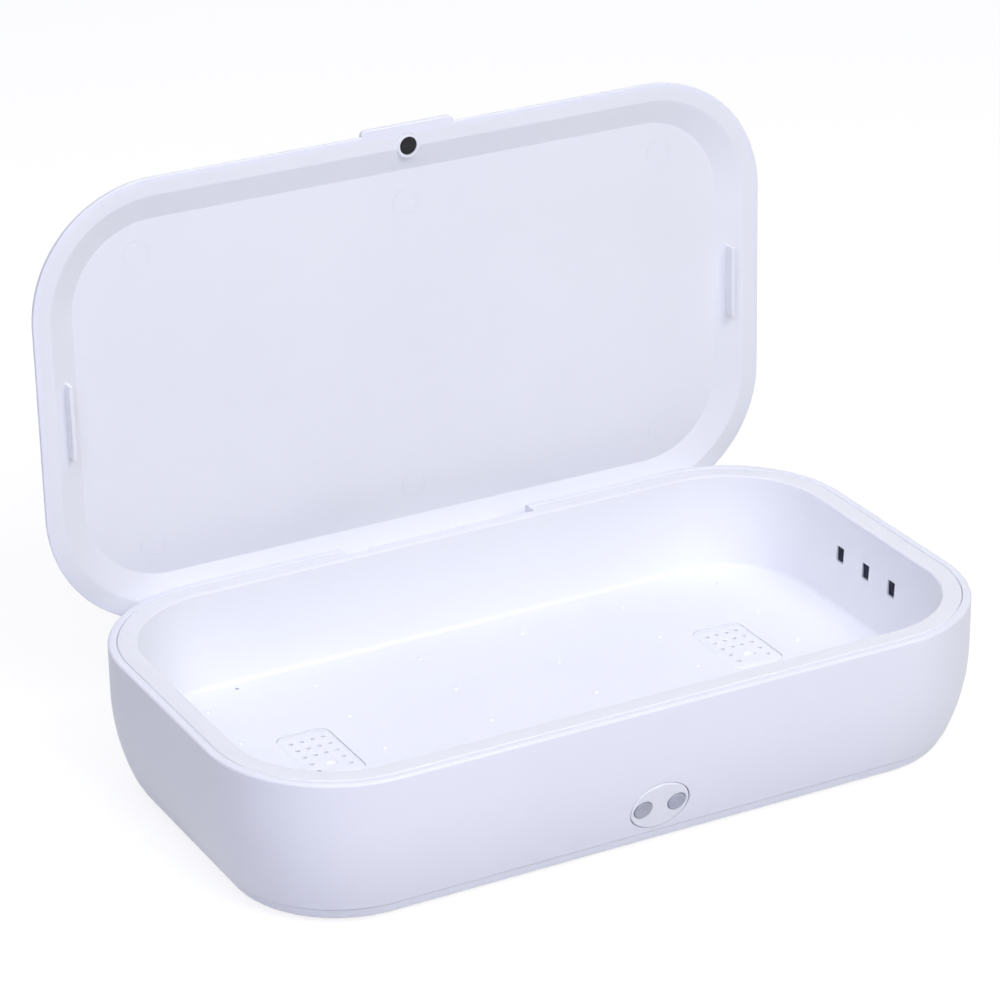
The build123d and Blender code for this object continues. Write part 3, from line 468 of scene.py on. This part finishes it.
# ---------------------------------------------------------------- lamp windows
# Each lamp shines through a small polished pane of smoked quartz, pressed into its
# window from behind and set a little back from the wall of the tray.
pane_front_inset = 8.31
pane_room = 0.2
pane_bevel = 0.14
pane_thickness = 0.9
smoked_quartz = finish(
    "smoked quartz",
    tones=((0.003, 0.004, 0.018), (0.007, 0.009, 0.040)),
    sheen=(0.05, 0.12), patch=0.0025, grain=0.0012, depth=0.000002,
    Specular_IOR_Level=0.1,
)
for side, sign in (("left", -1), ("right", 1)):
    panes = together([
        moulding("panes_" + side,
                 rounded_box(window_width - pane_room, window_height - pane_room, 0.2, 4),
                 [(pane_bevel, 0), (0, pane_bevel), (0, pane_thickness)],
                 end(sign, pane_front_inset, y))
        for y in window_y
    ])
    panes.name = "quartz_panes_" + side
    dress(panes, smoked_quartz, crease=25)
    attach(panes, "base")
    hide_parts("uv_windows_" + side)

# ---------------------------------------------------------------- lamp boards
# Behind each end wall three deep-ultraviolet lamps in pale ceramic cases are soldered to
# a narrow circuit board, and two steel screws hold the board to the back of the wall.
ceramic = finish(
    "lamp ceramic and lens",
    tones=((0.52, 0.47, 0.34), (0.68, 0.64, 0.52)),
    sheen=(0.2, 0.45), patch=0.0012, grain=0.0003, depth=0.00001,
    Coat_Weight=0.5, Coat_Roughness=0.08,
)
solder_green = finish(
    "green solder mask over copper",
    tones=((0.012, 0.115, 0.045), (0.022, 0.170, 0.066)),
    sheen=(0.22, 0.34), patch=0.0028, grain=0.0011, depth=0.00002,
    Coat_Weight=0.3, Coat_Roughness=0.12,
)


def etch(material, pitch, track_tone):
    """Adds square-cornered copper tracks under a board's lacquer, pitch metres apart."""
    tree = material.node_tree
    skin = tree.nodes["Principled BSDF"]
    mask = skin.inputs["Base Color"].links[0].from_socket
    place = node(tree, "TexCoord")
    cells = node(tree, "TexVoronoi", Scale=1 / pitch)
    cells.feature, cells.distance = "F1", "CHEBYCHEV"
    track = node(tree, "ValToRGB")
    for stop, (at, tone) in zip(track.color_ramp.elements, ((0.38, 0.0), (0.42, 1.0))):
        stop.position, stop.color = at, (tone, tone, tone, 1)
    blend = node(tree, "Mix")
    blend.data_type = "RGBA"
    blend.inputs[7].default_value = (*track_tone, 1)
    tree.links.new(place.outputs["Object"], cells.inputs["Vector"])
    tree.links.new(cells.outputs["Distance"], track.inputs["Fac"])
    tree.links.new(track.outputs["Color"], blend.inputs[0])
    tree.links.new(mask, blend.inputs[6])
    tree.links.new(blend.outputs[2], skin.inputs["Base Color"])


etch(solder_green, 0.0032, (0.035, 0.235, 0.085))


def coat(material, *names):
    """Gives the CAD's own pieces of these names a finish."""
    for name in names:
        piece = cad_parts[name]
        for place in piece.material_slots:
            place.material = material


fine_steel = finish(
    "nickel-plated steel",
    tones=((0.50, 0.50, 0.49), (0.64, 0.64, 0.63)),
    sheen=(0.22, 0.36), patch=0.001, grain=0.00015, depth=0.000004,
    stretch=(1, 3, 3), Metallic=1.0,
)
coat(ceramic, "uv_lamps_left", "uv_lamps_right")
coat(solder_green, "uv_board_left", "uv_board_right")
coat(fine_steel, "lamp_screws")

# ---------------------------------------------------------------- scent pads
# A pad of pressed wool felt lies in each pocket and takes a few drops of scent.  It is
# cut from sheet, so its faces are a little uneven and its edges are soft.
white_felt = finish(
    "pressed wool felt",
    tones=((0.60, 0.60, 0.58), (0.74, 0.74, 0.72)),
    sheen=(0.9, 1.0), patch=0.002, grain=0.00035, depth=0.00012,
    Sheen_Weight=0.5, Sheen_Roughness=0.5,
)
pad_width = 11.3
pad_length = 22.5
pad_thickness = 3.1
for side, sign in (("left", -1), ("right", 1)):
    pad = moulding(
        "felt_pad_" + side,
        rounded_box(pad_width, pad_length, pocket_radius, 8),
        rounded((5.2, 0.05), (3.5, 0.02), (0, 0.0, 0.5), (0, pad_thickness, 0.7),
                (3.5, pad_thickness + 0.05), (5.2, pad_thickness)),
        level(sign * cover_x, cover_y, pocket_floor),
    )
    dress(pad, white_felt, crease=60)
    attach(pad, "base")
    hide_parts("aroma_pad_" + side)

# ---------------------------------------------------------------- scent covers
# A loose plate of white ABS closes each pocket, flush with the floor.  Sixteen moulded
# holes let the scent out, and a scooped half-moon with a slit at its foot takes a nail.
# A skirt below the rounded edge keeps the seam round the plate narrow.
hole_radius = 0.6
hole_columns = [-4.65, -1.55, 1.55, 4.65]
hole_rows = [-8.3, -4.15, 0.0, 4.15, 8.3]
scoop_radius = 1.8
scoop_y = -6.3
scoop_depth = 0.75
slit_width = 0.6
cover_skirt = 0.2


def half_moon(inset):
    """Half-disc outline with its flat side along x."""
    size = scoop_radius - inset
    turns = [math.pi * step / 24 for step in range(25)]
    return [(size * math.cos(turn), size * math.sin(turn)) for turn in turns]


scoop = [(scoop_radius * (1 - math.cos(a)), -scoop_depth * math.sin(a))
         for a in [math.radians(12 * i) for i in range(8)]]
for side, sign in (("left", -1), ("right", 1)):
    here = level(sign * cover_x, cover_y, tray_floor)
    cover = moulding(
        "scent_cover_" + side,
        rounded_box(cover_width, cover_length, cover_radius, 12),
        [(0, -cover_thickness), (-cover_skirt, -0.6), (-cover_skirt, -0.35), (0.05, -0.08),
         (0.2, 0)],
        here,
    )
    holes = [
        moulding("tool", oval(hole_radius, hole_radius, 20),
                 [(0, -cover_thickness - 1), (0, -0.12), (-0.14, 0.02), (-0.14, 0.5)],
                 here @ Matrix.Translation((x, y, 0)))
        for x in hole_columns for y in hole_rows if abs(x) > 2 or y > -2
    ]
    cut(cover, together(holes))
    notch_place = here @ Matrix.Translation((0, scoop_y, 0))
    cut(
        cover,
        moulding("tool", half_moon, [(0, 0.4), *scoop], notch_place),
        bar(rounded_box(2 * scoop_radius, slit_width, 0.28, 6), -cover_thickness - 1, 0.5,
            notch_place @ Matrix.Translation((0, -slit_width / 2, 0))),
    )
    dress(cover, white_liner)
    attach(cover, "aroma_cover_" + side)
    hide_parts("aroma_cover_" + side)

# ---------------------------------------------------------------- control panel
# An oval plate of white ABS is pushed into the front wall from inside, up to a lip at
# its back.  Two bored posts behind it carry the control board.
white_plate = finish(
    "gloss white ABS of the panel",
    tones=((0.850, 0.866, 0.915), (0.872, 0.886, 0.932)),
    sheen=(0.16, 0.24), patch=0.01, grain=0.0006, depth=0.000004,
)
button_x = 4.95
button_radius = 2.5
button_gap = 0.15
button_flange_room = 3.4
post_y = 4.2
post_radius = 1.4
post_end = 4.6
post_bore = 0.85
panel = moulding(
    "control_panel",
    oval(plate_half_width, plate_half_height, 96),
    rounded((4, 0), (0, 0, 0.45), (0, -plate_lip_front), (-plate_lip, -plate_lip_front),
            (-plate_lip, -plate_lip_back), (4, -plate_lip_back)),
    plate_face,
)
posts = [plate_face @ Matrix.Translation((0, y, 0)) for y in (-post_y, post_y)]
fuse(panel, together([bar(oval(post_radius, post_radius, 24), -post_end, -2.0, post)
                      for post in posts]))
for x in (-button_x, button_x):
    spot = plate_face @ Matrix.Translation((x, 0, 0))
    cut(panel, moulding("tool", oval(button_radius + button_gap, button_radius + button_gap, 48),
                        [(0, -3), (0, -0.2), (-0.2, 0.02), (-0.2, 1)], spot))
    cut(panel, bar(oval(button_flange_room, button_flange_room, 48), -3, -plate_lip_front,
                   spot))
cut(panel, together([bar(oval(post_bore, post_bore, 20), -5, -2.1, post) for post in posts]))
dress(panel, white_plate)
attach(panel, "base")
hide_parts("control_plate")

# ---------------------------------------------------------------- buttons
# Two round caps of grey translucent plastic stand a little proud of the plate.  A
# flange behind the plate keeps each cap in, and its face is slightly dished.
grey_cap = finish(
    "grey translucent button plastic",
    tones=((0.395, 0.41, 0.485), (0.445, 0.46, 0.535)),
    sheen=(0.28, 0.38), patch=0.003, grain=0.0003, depth=0.000006,
    Subsurface_Weight=0.15, Subsurface_Scale=0.0006,
)
button_proud = 0.3
cap_flange = 0.6
cap_flange_front = -1.7
cap_back = -2.1
for side, sign in (("left", -1), ("right", 1)):
    cap = moulding(
        "button_cap_" + side,
        oval(button_radius, button_radius, 64),
        [(2.3, 0.12), (1.8, 0.125), (1.2, 0.16)]
        + rounded((1.2, 0.16), (0.55, 0.27), (0.0, button_proud, 0.3),
                  (0, cap_flange_front))[1:]
        + [(-cap_flange, cap_flange_front), (-cap_flange, cap_back), (2.3, cap_back)],
        plate_face @ Matrix.Translation((sign * button_x, 0, 0)),
    )
    dress(cap, grey_cap)
    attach(cap, "button_" + side)
    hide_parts("button_" + side)

# ---------------------------------------------------------------- switches and their board
# Behind each cap a stiff white stem reaches into a square tact switch.  Both switches
# are soldered to a small board on the panel's posts.
stem_nylon = finish(
    "natural nylon",
    tones=((0.70, 0.69, 0.63), (0.80, 0.79, 0.74)),
    sheen=(0.40, 0.55), patch=0.002, grain=0.0004, depth=0.00001,
    Subsurface_Weight=0.2, Subsurface_Scale=0.0008,
)
switch_black = finish(
    "black glass-filled nylon",
    tones=((0.012, 0.012, 0.013), (0.030, 0.030, 0.032)),
    sheen=(0.45, 0.62), patch=0.0015, grain=0.0003, depth=0.00002,
)
coat(stem_nylon, "plunger_left", "plunger_right")
coat(switch_black, "switch_left", "switch_right")
coat(solder_green, "control_board")
coat(fine_steel, "control_screws")

# ---------------------------------------------------------------- catch and lid sensor
# Under the front of the tray's flange a sintered magnet bar draws the lid's magnet down,
# and a sensor on a small upright board tells when the lid is closed.
sintered = finish(
    "nickel-plated sintered magnet",
    tones=((0.34, 0.34, 0.34), (0.50, 0.50, 0.49)),
    sheen=(0.25, 0.45), patch=0.0012, grain=0.0002, depth=0.00001,
    Metallic=1.0,
)
coat(sintered, "catch_magnet")
coat(solder_green, "lid_sensor")

# ---------------------------------------------------------------- main board
# The main board lies on four bosses of the bottom cover, with a processor, two power
# converters, a coil and three ivory plugs for the wires.
chip_epoxy = finish(
    "black chip epoxy",
    tones=((0.016, 0.016, 0.018), (0.034, 0.034, 0.036)),
    sheen=(0.38, 0.52), patch=0.002, grain=0.0002, depth=0.00001,
)
ivory_plug = finish(
    "ivory plug nylon",
    tones=((0.66, 0.62, 0.50), (0.76, 0.72, 0.60)),
    sheen=(0.38, 0.50), patch=0.002, grain=0.0005, depth=0.00001,
)
coat(solder_green, "main_board")
coat(chip_epoxy, "board_chips")
coat(ivory_plug, "board_connectors")
coat(fine_steel, "board_screws")

# ---------------------------------------------------------------- power socket
# The power socket is a drawn steel shell soldered to the back edge of the main board,
# with a black tongue in its middle that has gold contacts on both faces.
socket_front_y = 59.17
socket_depth = 7.4
socket_metal = 0.35
socket_radius = 1.42
tongue_width = 6.6
tongue_thickness = 0.7
contact_pitch = 0.55
contact_width = 0.28
contact_metal = 0.1
contact_rise = 0.36
socket_front = plane((socket_x, socket_front_y, socket_z), (-1, 0, 0), (0, 1, 0))
socket = moulding(
    "socket_shell",
    rounded_box(socket_width, socket_height, socket_radius, 12),
    [(0, -socket_depth), (0, -0.12), (0.1, 0), (0.25, 0), (socket_metal, -0.1),
     (socket_metal, socket_metal - socket_depth)],
    socket_front,
)
dress(socket, fine_steel)
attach(socket, "base")
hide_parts("usb_socket")
tongue = moulding(
    "socket_tongue",
    rounded_box(tongue_width, tongue_thickness, 0.2, 4),
    [(0, 0.2 - socket_depth), (0, -1.6), (0.15, -1.45)],
    socket_front,
)
dress(tongue, switch_black)
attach(tongue, "base")
gold = finish(
    "gold-plated contacts",
    tones=((0.72, 0.50, 0.18), (0.85, 0.62, 0.26)),
    sheen=(0.18, 0.30), patch=0.0008, grain=0.0002, depth=0.000002,
    Metallic=1.0,
)
contacts = together([
    bar(rounded_box(contact_width, contact_metal, 0.03, 2), -6.4, -1.9,
        socket_front @ Matrix.Translation((contact_pitch * place, side * contact_rise, 0)))
    for place in range(-5, 6) if place for side in (-1, 1)
])
contacts.name = "socket_contacts"
dress(contacts, gold)
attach(contacts, "base")

# ---------------------------------------------------------------- wires
# Each lamp board and the control board has its own sleeved lead to the main board, laid
# along the bottom cover.
grey_sleeve = finish(
    "grey PVC sleeve",
    tones=((0.20, 0.20, 0.22), (0.28, 0.28, 0.30)),
    sheen=(0.35, 0.50), patch=0.004, grain=0.0006, depth=0.00001,
)
coat(grey_sleeve, "uv_wire_left", "uv_wire_right", "control_wire")

# ---------------------------------------------------------------- bottom cover
# A shallow white ABS pan with a rounded edge closes the box from below.  A lip on it
# locates inside the shell, four screws pull it up against the tray's bosses, and its
# inside carries the main board.
seam = 5.2
pan_top_inset = 5.39
pan_foot_inset = 7.45
pan_wall = 2.0
pan_edge = 3.6
lip_inset = 7.5
lip_wall = 1.2
lip_root = 2.5
lip_steps = 29
board_x = 50.0
board_y = 42.37
board_hole_x = 26.4
board_hole_y = 10.4
boss_radius = 2.6
boss_top = 6.6
boss_bore = 1.15
boss_bore_foot = 3.3
seat_gap = 0.25
seat_top = 1.8
head_room_radius = 2.35
head_room_top = 2.3
foot_places = {"front_left": (-74.0, -36.0), "front_right": (74.0, -36.0),
               "back_left": (-74.0, 36.0), "back_right": (74.0, 36.0)}
foot_radius = 5.5
pan = moulding(
    "bottom_pan",
    box_outline,
    rounded((20, underside), (pan_foot_inset, underside, pan_edge), (pan_top_inset, seam, 0.2),
            (pan_top_inset + pan_wall, seam), (pan_foot_inset + pan_wall, underside + pan_wall),
            (20, underside + pan_wall), steps=10),
    level(),
)
fuse(pan, moulding("tool", rounded_box(box_length, box_width, corner_radius, lip_steps),
                   [(lip_inset, lip_root), (lip_inset + lip_wall, lip_root),
                    (lip_inset + lip_wall, seam + 1), (lip_inset, seam + 1)],
                   level(), ring=True))
board_bosses = [level(board_x + sx * board_hole_x, board_y + sy * board_hole_y)
                for sx in (-1, 1) for sy in (-1, 1)]
fuse(pan, together([bar(oval(boss_radius, boss_radius, 24), lip_root, boss_top, boss)
                    for boss in board_bosses]))
cut(pan, together([bar(oval(boss_bore, boss_bore, 20), boss_bore_foot, boss_top + 0.4, boss)
                   for boss in board_bosses]))
cut(pan, together([bar(oval(foot_radius + seat_gap, foot_radius + seat_gap, 48), 0, seat_top,
                       level(x, y)) for x, y in foot_places.values()]))
cut(pan, together([moulding("tool", oval(head_room_radius, head_room_radius, 32),
                            [(0, 0), (0, head_room_top), (1.0, head_room_top), (1.0, 8)],
                            level(x, y)) for x, y in bottom_screw_places]))
dress(pan, white_shell_painted_blue_shade)
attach(pan, "base")
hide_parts("bottom_cover")

# ---------------------------------------------------------------- feet
# Four round feet of grey silicone rubber are glued into shallow seats and keep the box
# from sliding.
grey_rubber = finish(
    "grey silicone rubber",
    tones=((0.36, 0.36, 0.38), (0.44, 0.44, 0.46)),
    sheen=(0.65, 0.8), patch=0.004, grain=0.0005, depth=0.00002,
)
for place, (x, y) in foot_places.items():
    foot = moulding(
        "rubber_foot_" + place,
        oval(foot_radius, foot_radius, 64),
        rounded((3.2, 0.14), (1.6, 0.12), (1.3, 0), (0, 0, 0.5), (0, seat_top),
                (3.2, seat_top)),
        level(x, y),
    )
    dress(foot, grey_rubber)
    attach(foot, "base")
    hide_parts("foot_" + place)

# ---------------------------------------------------------------- bottom screws
# Self-tapping screws of zinc-plated steel, with low domed heads and cross recesses, sit
# in counterbores in the bottom cover.
zinc_steel = finish(
    "zinc-plated steel",
    tones=((0.52, 0.53, 0.55), (0.68, 0.69, 0.70)),
    sheen=(0.24, 0.38), patch=0.0015, grain=0.0002, depth=0.000006,
    stretch=(1, 1, 3), Metallic=1.0,
)
head_radius = 2.1
screw_tip = 11.3
recess_length = 2.6
recess_width = 0.6
for number, (x, y) in enumerate(bottom_screw_places, 1):
    screw = moulding(
        "cross_screw_" + str(number),
        oval(head_radius, head_radius, 40),
        [(1.9, 1.2), (1.2, 1.23), (0.5, 1.35), (0.08, 1.6), (0, 1.75), (0, head_room_top),
         (1.0, head_room_top), (1.0, screw_tip - 0.7), (1.9, screw_tip)],
        level(x, y),
    )
    recess = [(0, 1.0), (0, 1.25), (0.12, 1.9)]
    cut(screw, *[moulding("tool", rounded_box(length, width, 0.12, 3), recess, level(x, y))
                 for length, width in ((recess_length, recess_width),
                                       (recess_width, recess_length))])
    dress(screw, zinc_steel)
    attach(screw, "base")
    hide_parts("bottom_screws")

# ---------------------------------------------------------------- lid cover
# The lid's outer skin is a shallow white ABS dome with a flat top.  It is modelled in
# its closed place and swung open round the hinge pin, and a thumb tab stands out at the
# middle of its front edge.
lid_rim = 43.5
lid_height = 9.0
lid_wall = 1.8
lid_edge_wall = 1.5
dome_width = 17.0
lid_edge_round = 0.3
quarter_steps = 20
tab_length = 27.6
tab_width = 3.3
tab_y = -62.85
magnet_y = -58.3
ring_room_radius = 3.5
magnet_room_radius = 3.0
open_angle = math.radians(91.0)
hinge_line = Matrix.Translation((0, box_middle_y + hinge_y, hinge_z))
swing = hinge_line @ Matrix.Rotation(-open_angle, 4, "X") @ hinge_line.inverted()
quarter = [math.pi / 2 * step / quarter_steps for step in range(quarter_steps + 1)]
lid = moulding(
    "lid_dome",
    box_outline,
    [(dome_width - (dome_width - lid_edge_wall) * math.cos(a),
      lid_rim + (lid_height - lid_wall) * math.sin(a)) for a in reversed(quarter[1:])]
    + rounded((lid_edge_wall, lid_rim + 1), (lid_edge_wall, lid_rim), (0, lid_rim, lid_edge_round),
              (0.02, lid_rim + 1), steps=4)[1:-1]
    + [(dome_width * (1 - math.cos(a)), lid_rim + lid_height * math.sin(a))
       for a in quarter[1:]],
    swing @ level(),
)
fuse(lid, moulding("tool", rounded_box(tab_length, tab_width, 1.5, 8),
                   [(0.3, 0), (0, 0.3), (0, 1.3), (0.3, 1.6)],
                   swing @ level(0, tab_y, lid_rim)))
magnet_spot = swing @ level(0, magnet_y, lid_rim)
cut(lid, bar(oval(ring_room_radius, ring_room_radius, 48), -1, 1.5, magnet_spot))
cut(lid, bar(oval(magnet_room_radius, magnet_room_radius, 48), -1, 2.9, magnet_spot))
dress(lid, white_shell_painted_blue_shade)
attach(lid, "lid")
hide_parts("lid_cover")

# ---------------------------------------------------------------- lid liner
# The inside of the lid is a white ABS pan welded into the cover: a flat rim, a sloping
# step and a flat floor with faint circles left by the ejector pins.  Two ribs locate the
# lid in the tray's mouth, and a leaf at the back runs down to the hinge knuckle.
liner_edge = 1.51
liner_rim = 5.0
pan_inset = 12.2
pan_depth = 3.3
liner_back = 5.1
rib_x = 101.15
rib_length = 21.0
rib_height = 1.5
rib_width = 1.2
mark_radius = 3.7
mark_line = 0.35
mark_depth = 0.15
boss_on_mark = 3.35
mark_x = 79.0
mark_y = 41.4
ring_radius = 3.4
ring_wall = 0.5
magnet_bore = 2.55
liner_rim_back = 1.2
leaf_half = 28.4
knuckle_half = 24.0
liner_pin_bore = 1.25
bend_radius = 2.79
bend_start = 113.1
bend_turn = 246.9
bend_steps = 30
mark_places = [(mark_x * column, mark_y * row) for column in (-1, 0, 1) for row in (-1, 1)]
liner = moulding(
    "lid_liner_pan",
    box_outline,
    rounded((18, pan_depth), (pan_inset, pan_depth, 0.5), (liner_rim, 0, 1.8),
            (liner_edge, 0), (liner_edge, liner_rim_back), (3.6, liner_rim_back),
            (11.75, liner_back), (18, liner_back)),
    swing @ level(0, 0, lid_rim),
)
hinge_frame = swing @ across(0)
bend = [(bend_radius * math.cos(a), bend_radius * math.sin(a))
        for a in [math.radians(bend_start + bend_turn * i / bend_steps)
                  for i in range(bend_steps + 1)]]
fuse(
    liner,
    bar(shape((-1.1, 3.15), (2.8, 3.15), (2.8, 10.6), (1.4, 10.6), (1.4, 12.05), (-1.1, 12.05)),
        -leaf_half, leaf_half, hinge_frame),
    bar(shape((bend_radius, 3.3), (2.5, 3.6), (2.5, 9.0), (-0.8, 9.0), (-0.8, 3.6),
              (-1.09, 3.3), *bend),
        -knuckle_half, knuckle_half, hinge_frame),
)
cut(liner, bar(oval(liner_pin_bore, liner_pin_bore, 24), -30, 30, hinge_frame))
fuse(liner, *[moulding("tool", rounded_box(rib_width, rib_length, 0.25, 4),
                       [(0.2, -rib_height), (0, 0.2 - rib_height), (0, 2.6)],
                       swing @ level(sign * rib_x, 0, lid_rim)) for sign in (-1, 1)])
fuse(liner, together([bar(oval(boss_on_mark, boss_on_mark, 32), liner_back - 0.3,
                          lid_height - lid_wall, swing @ level(x, y, lid_rim))
                      for x, y in mark_places]))
fuse(liner, moulding("tool", oval(ring_radius, ring_radius, 64),
                     [(0.3, -0.2), (0.12, -0.15), (0, 0.05), (0, 1.1), (ring_wall, 1.1),
                      (ring_wall, 2.6)],
                     magnet_spot))
cut(liner, bar(oval(magnet_bore, magnet_bore, 48), -1, 1.8, magnet_spot))
cut(liner, together([moulding("tool", oval(mark_radius, mark_radius, 64),
                              [(0, -0.5), (mark_line, -0.5), (mark_line, mark_depth),
                               (0, mark_depth)],
                              swing @ level(x, y, lid_rim + pan_depth), ring=True)
                     for x, y in mark_places]))
dress(liner, white_liner)
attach(liner, "lid")
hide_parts("lid_liner")

# ---------------------------------------------------------------- lid magnet
# A black-nickel neodymium disc is pressed into the ring at the lid's front edge and
# meets the catch magnet under the tray's flange.
black_nickel = finish(
    "black nickel plating",
    tones=((0.006, 0.006, 0.007), (0.014, 0.014, 0.016)),
    sheen=(0.28, 0.5), patch=0.001, grain=0.0002, depth=0.000004,
    Specular_IOR_Level=0.3,
)
magnet_radius = 2.5
magnet_thickness = 1.8
magnet = moulding(
    "magnet_disc",
    oval(magnet_radius, magnet_radius, 64),
    [(2.3, 0), (0.22, 0), (0.06, 0.06), (0, 0.22), (0, magnet_thickness - 0.2),
     (0.2, magnet_thickness), (2.3, magnet_thickness)],
    magnet_spot,
)
dress(magnet, black_nickel)
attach(magnet, "lid")
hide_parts("lid_magnet")

# ---------------------------------------------------------------- hinge pin
# A straight ground-steel pin is pressed into both ears of the shell, and the lid's
# knuckle turns on it.
coat(fine_steel, "hinge_pin")

# ---------------------------------------------------------------- studio sweep
# The box stands on a pale matt sweep.  Seen by the camera or mirrored in the pieces, the
# sweep and the room beyond it are white, and the sweep keeps the box's soft shadow.
floor_size = 12000.0
floor_thickness = 5.0
floor_tone = (0.80, 0.80, 0.82)
veil_tone = (0.30, 0.30, 0.31)
veil_glow = 0.81
room_tone = (0.90, 0.92, 1.0)
room_strength = 0.02


def seen_white(tree):
    """1 for rays from the camera, reflections and clear glass, and 0 for the light."""
    rays = node(tree, "LightPath")
    largest = rays.outputs["Is Camera Ray"]
    for kind in ("Is Glossy Ray", "Is Transmission Ray"):
        either = node(tree, "Math")
        either.operation = "MAXIMUM"
        tree.links.new(largest, either.inputs[0])
        tree.links.new(rays.outputs[kind], either.inputs[1])
        largest = either.outputs[0]
    return largest


pale_sweep = bpy.data.materials.new("pale matt sweep")
pale_sweep.use_nodes = True
sweep_tree = pale_sweep.node_tree
sweep_tree.nodes.clear()
matt = node(sweep_tree, "BsdfDiffuse", Color=(*floor_tone, 1), Roughness=0.5)
veil = node(sweep_tree, "BsdfDiffuse", Color=(*veil_tone, 1))
glow = node(sweep_tree, "Emission", Color=(1, 1, 1, 1), Strength=veil_glow)
veiled = node(sweep_tree, "AddShader")
choice = node(sweep_tree, "MixShader")
sweep_out = node(sweep_tree, "OutputMaterial")
sweep_tree.links.new(veil.outputs[0], veiled.inputs[0])
sweep_tree.links.new(glow.outputs[0], veiled.inputs[1])
sweep_tree.links.new(seen_white(sweep_tree), choice.inputs[0])
sweep_tree.links.new(matt.outputs[0], choice.inputs[1])
sweep_tree.links.new(veiled.outputs[0], choice.inputs[2])
sweep_tree.links.new(choice.outputs[0], sweep_out.inputs["Surface"])
sweep = moulding("sweep", rounded_box(floor_size, floor_size, 10, 2, floor_size),
                 [(0, -floor_thickness), (0, 0)], Matrix())
dress(sweep, pale_sweep)

room = bpy.data.worlds.new("white room")
bpy.context.scene.world = room
room.use_nodes = True
room_tree = room.node_tree
room_tree.nodes.clear()
dim = node(room_tree, "Background", Color=(*room_tone, 1), Strength=room_strength)
white = node(room_tree, "Background", Color=(1, 1, 1, 1), Strength=1.0)
room_choice = node(room_tree, "MixShader")
room_out = node(room_tree, "OutputWorld")
room_tree.links.new(seen_white(room_tree), room_choice.inputs[0])
room_tree.links.new(dim.outputs[0], room_choice.inputs[1])
room_tree.links.new(white.outputs[0], room_choice.inputs[2])
room_tree.links.new(room_choice.outputs[0], room_out.inputs["Surface"])

# ---------------------------------------------------------------- studio lamps
# Four large soft boxes: the main one high in front, a bluer one at the front left, and
# weak ones overhead and above the back.  Each is (place, side, watts, tone).
soft_boxes = {
    "high_front": ((0.3, -1.3, 1.3), 1.0, 17.9, (0.98, 0.98, 1.0)),
    "overhead": ((0.0, 0.0, 1.6), 1.4, 5.0, (1.0, 1.0, 1.0)),
    "front_left": ((-0.9, -1.0, 1.2), 1.0, 12.6, (0.79, 0.80, 1.0)),
    "above_back": ((0.0, 0.7, 1.5), 1.2, 4.4, (0.95, 0.96, 1.0)),
}
box_heart = Vector((0, 0, 0.06))
for name, (spot, side, watts, tone) in soft_boxes.items():
    lamp = bpy.data.lights.new(name, "AREA")
    lamp.shape, lamp.size, lamp.energy, lamp.color = "SQUARE", side, watts, tone
    stand = bpy.data.objects.new(name, lamp)
    bpy.context.scene.collection.objects.link(stand)
    stand.location = spot
    stand.rotation_euler = (box_heart - Vector(spot)).to_track_quat("-Z", "Y").to_euler()

# ---------------------------------------------------------------- camera
# A long lens looks down on the box from the front left.
camera_place = (-0.45527, -0.83771, 0.50387)
camera_heading = math.radians(28.125)
camera_drop = math.radians(24.38)
camera_lean = math.radians(-0.741)
lens = 143.55
gaze = Vector((math.sin(camera_heading) * math.cos(camera_drop),
               math.cos(camera_heading) * math.cos(camera_drop), -math.sin(camera_drop)))
view_turn = gaze.to_track_quat("-Z", "Y").to_matrix() @ Matrix.Rotation(camera_lean, 3, "Z")
camera = bpy.data.objects.new("camera", bpy.data.cameras.new("camera"))
bpy.context.scene.collection.objects.link(camera)
camera.location = camera_place
camera.rotation_euler = view_turn.to_euler()
camera.data.lens = lens
bpy.context.scene.camera = camera
bpy.context.scene.view_settings.view_transform = "Standard"
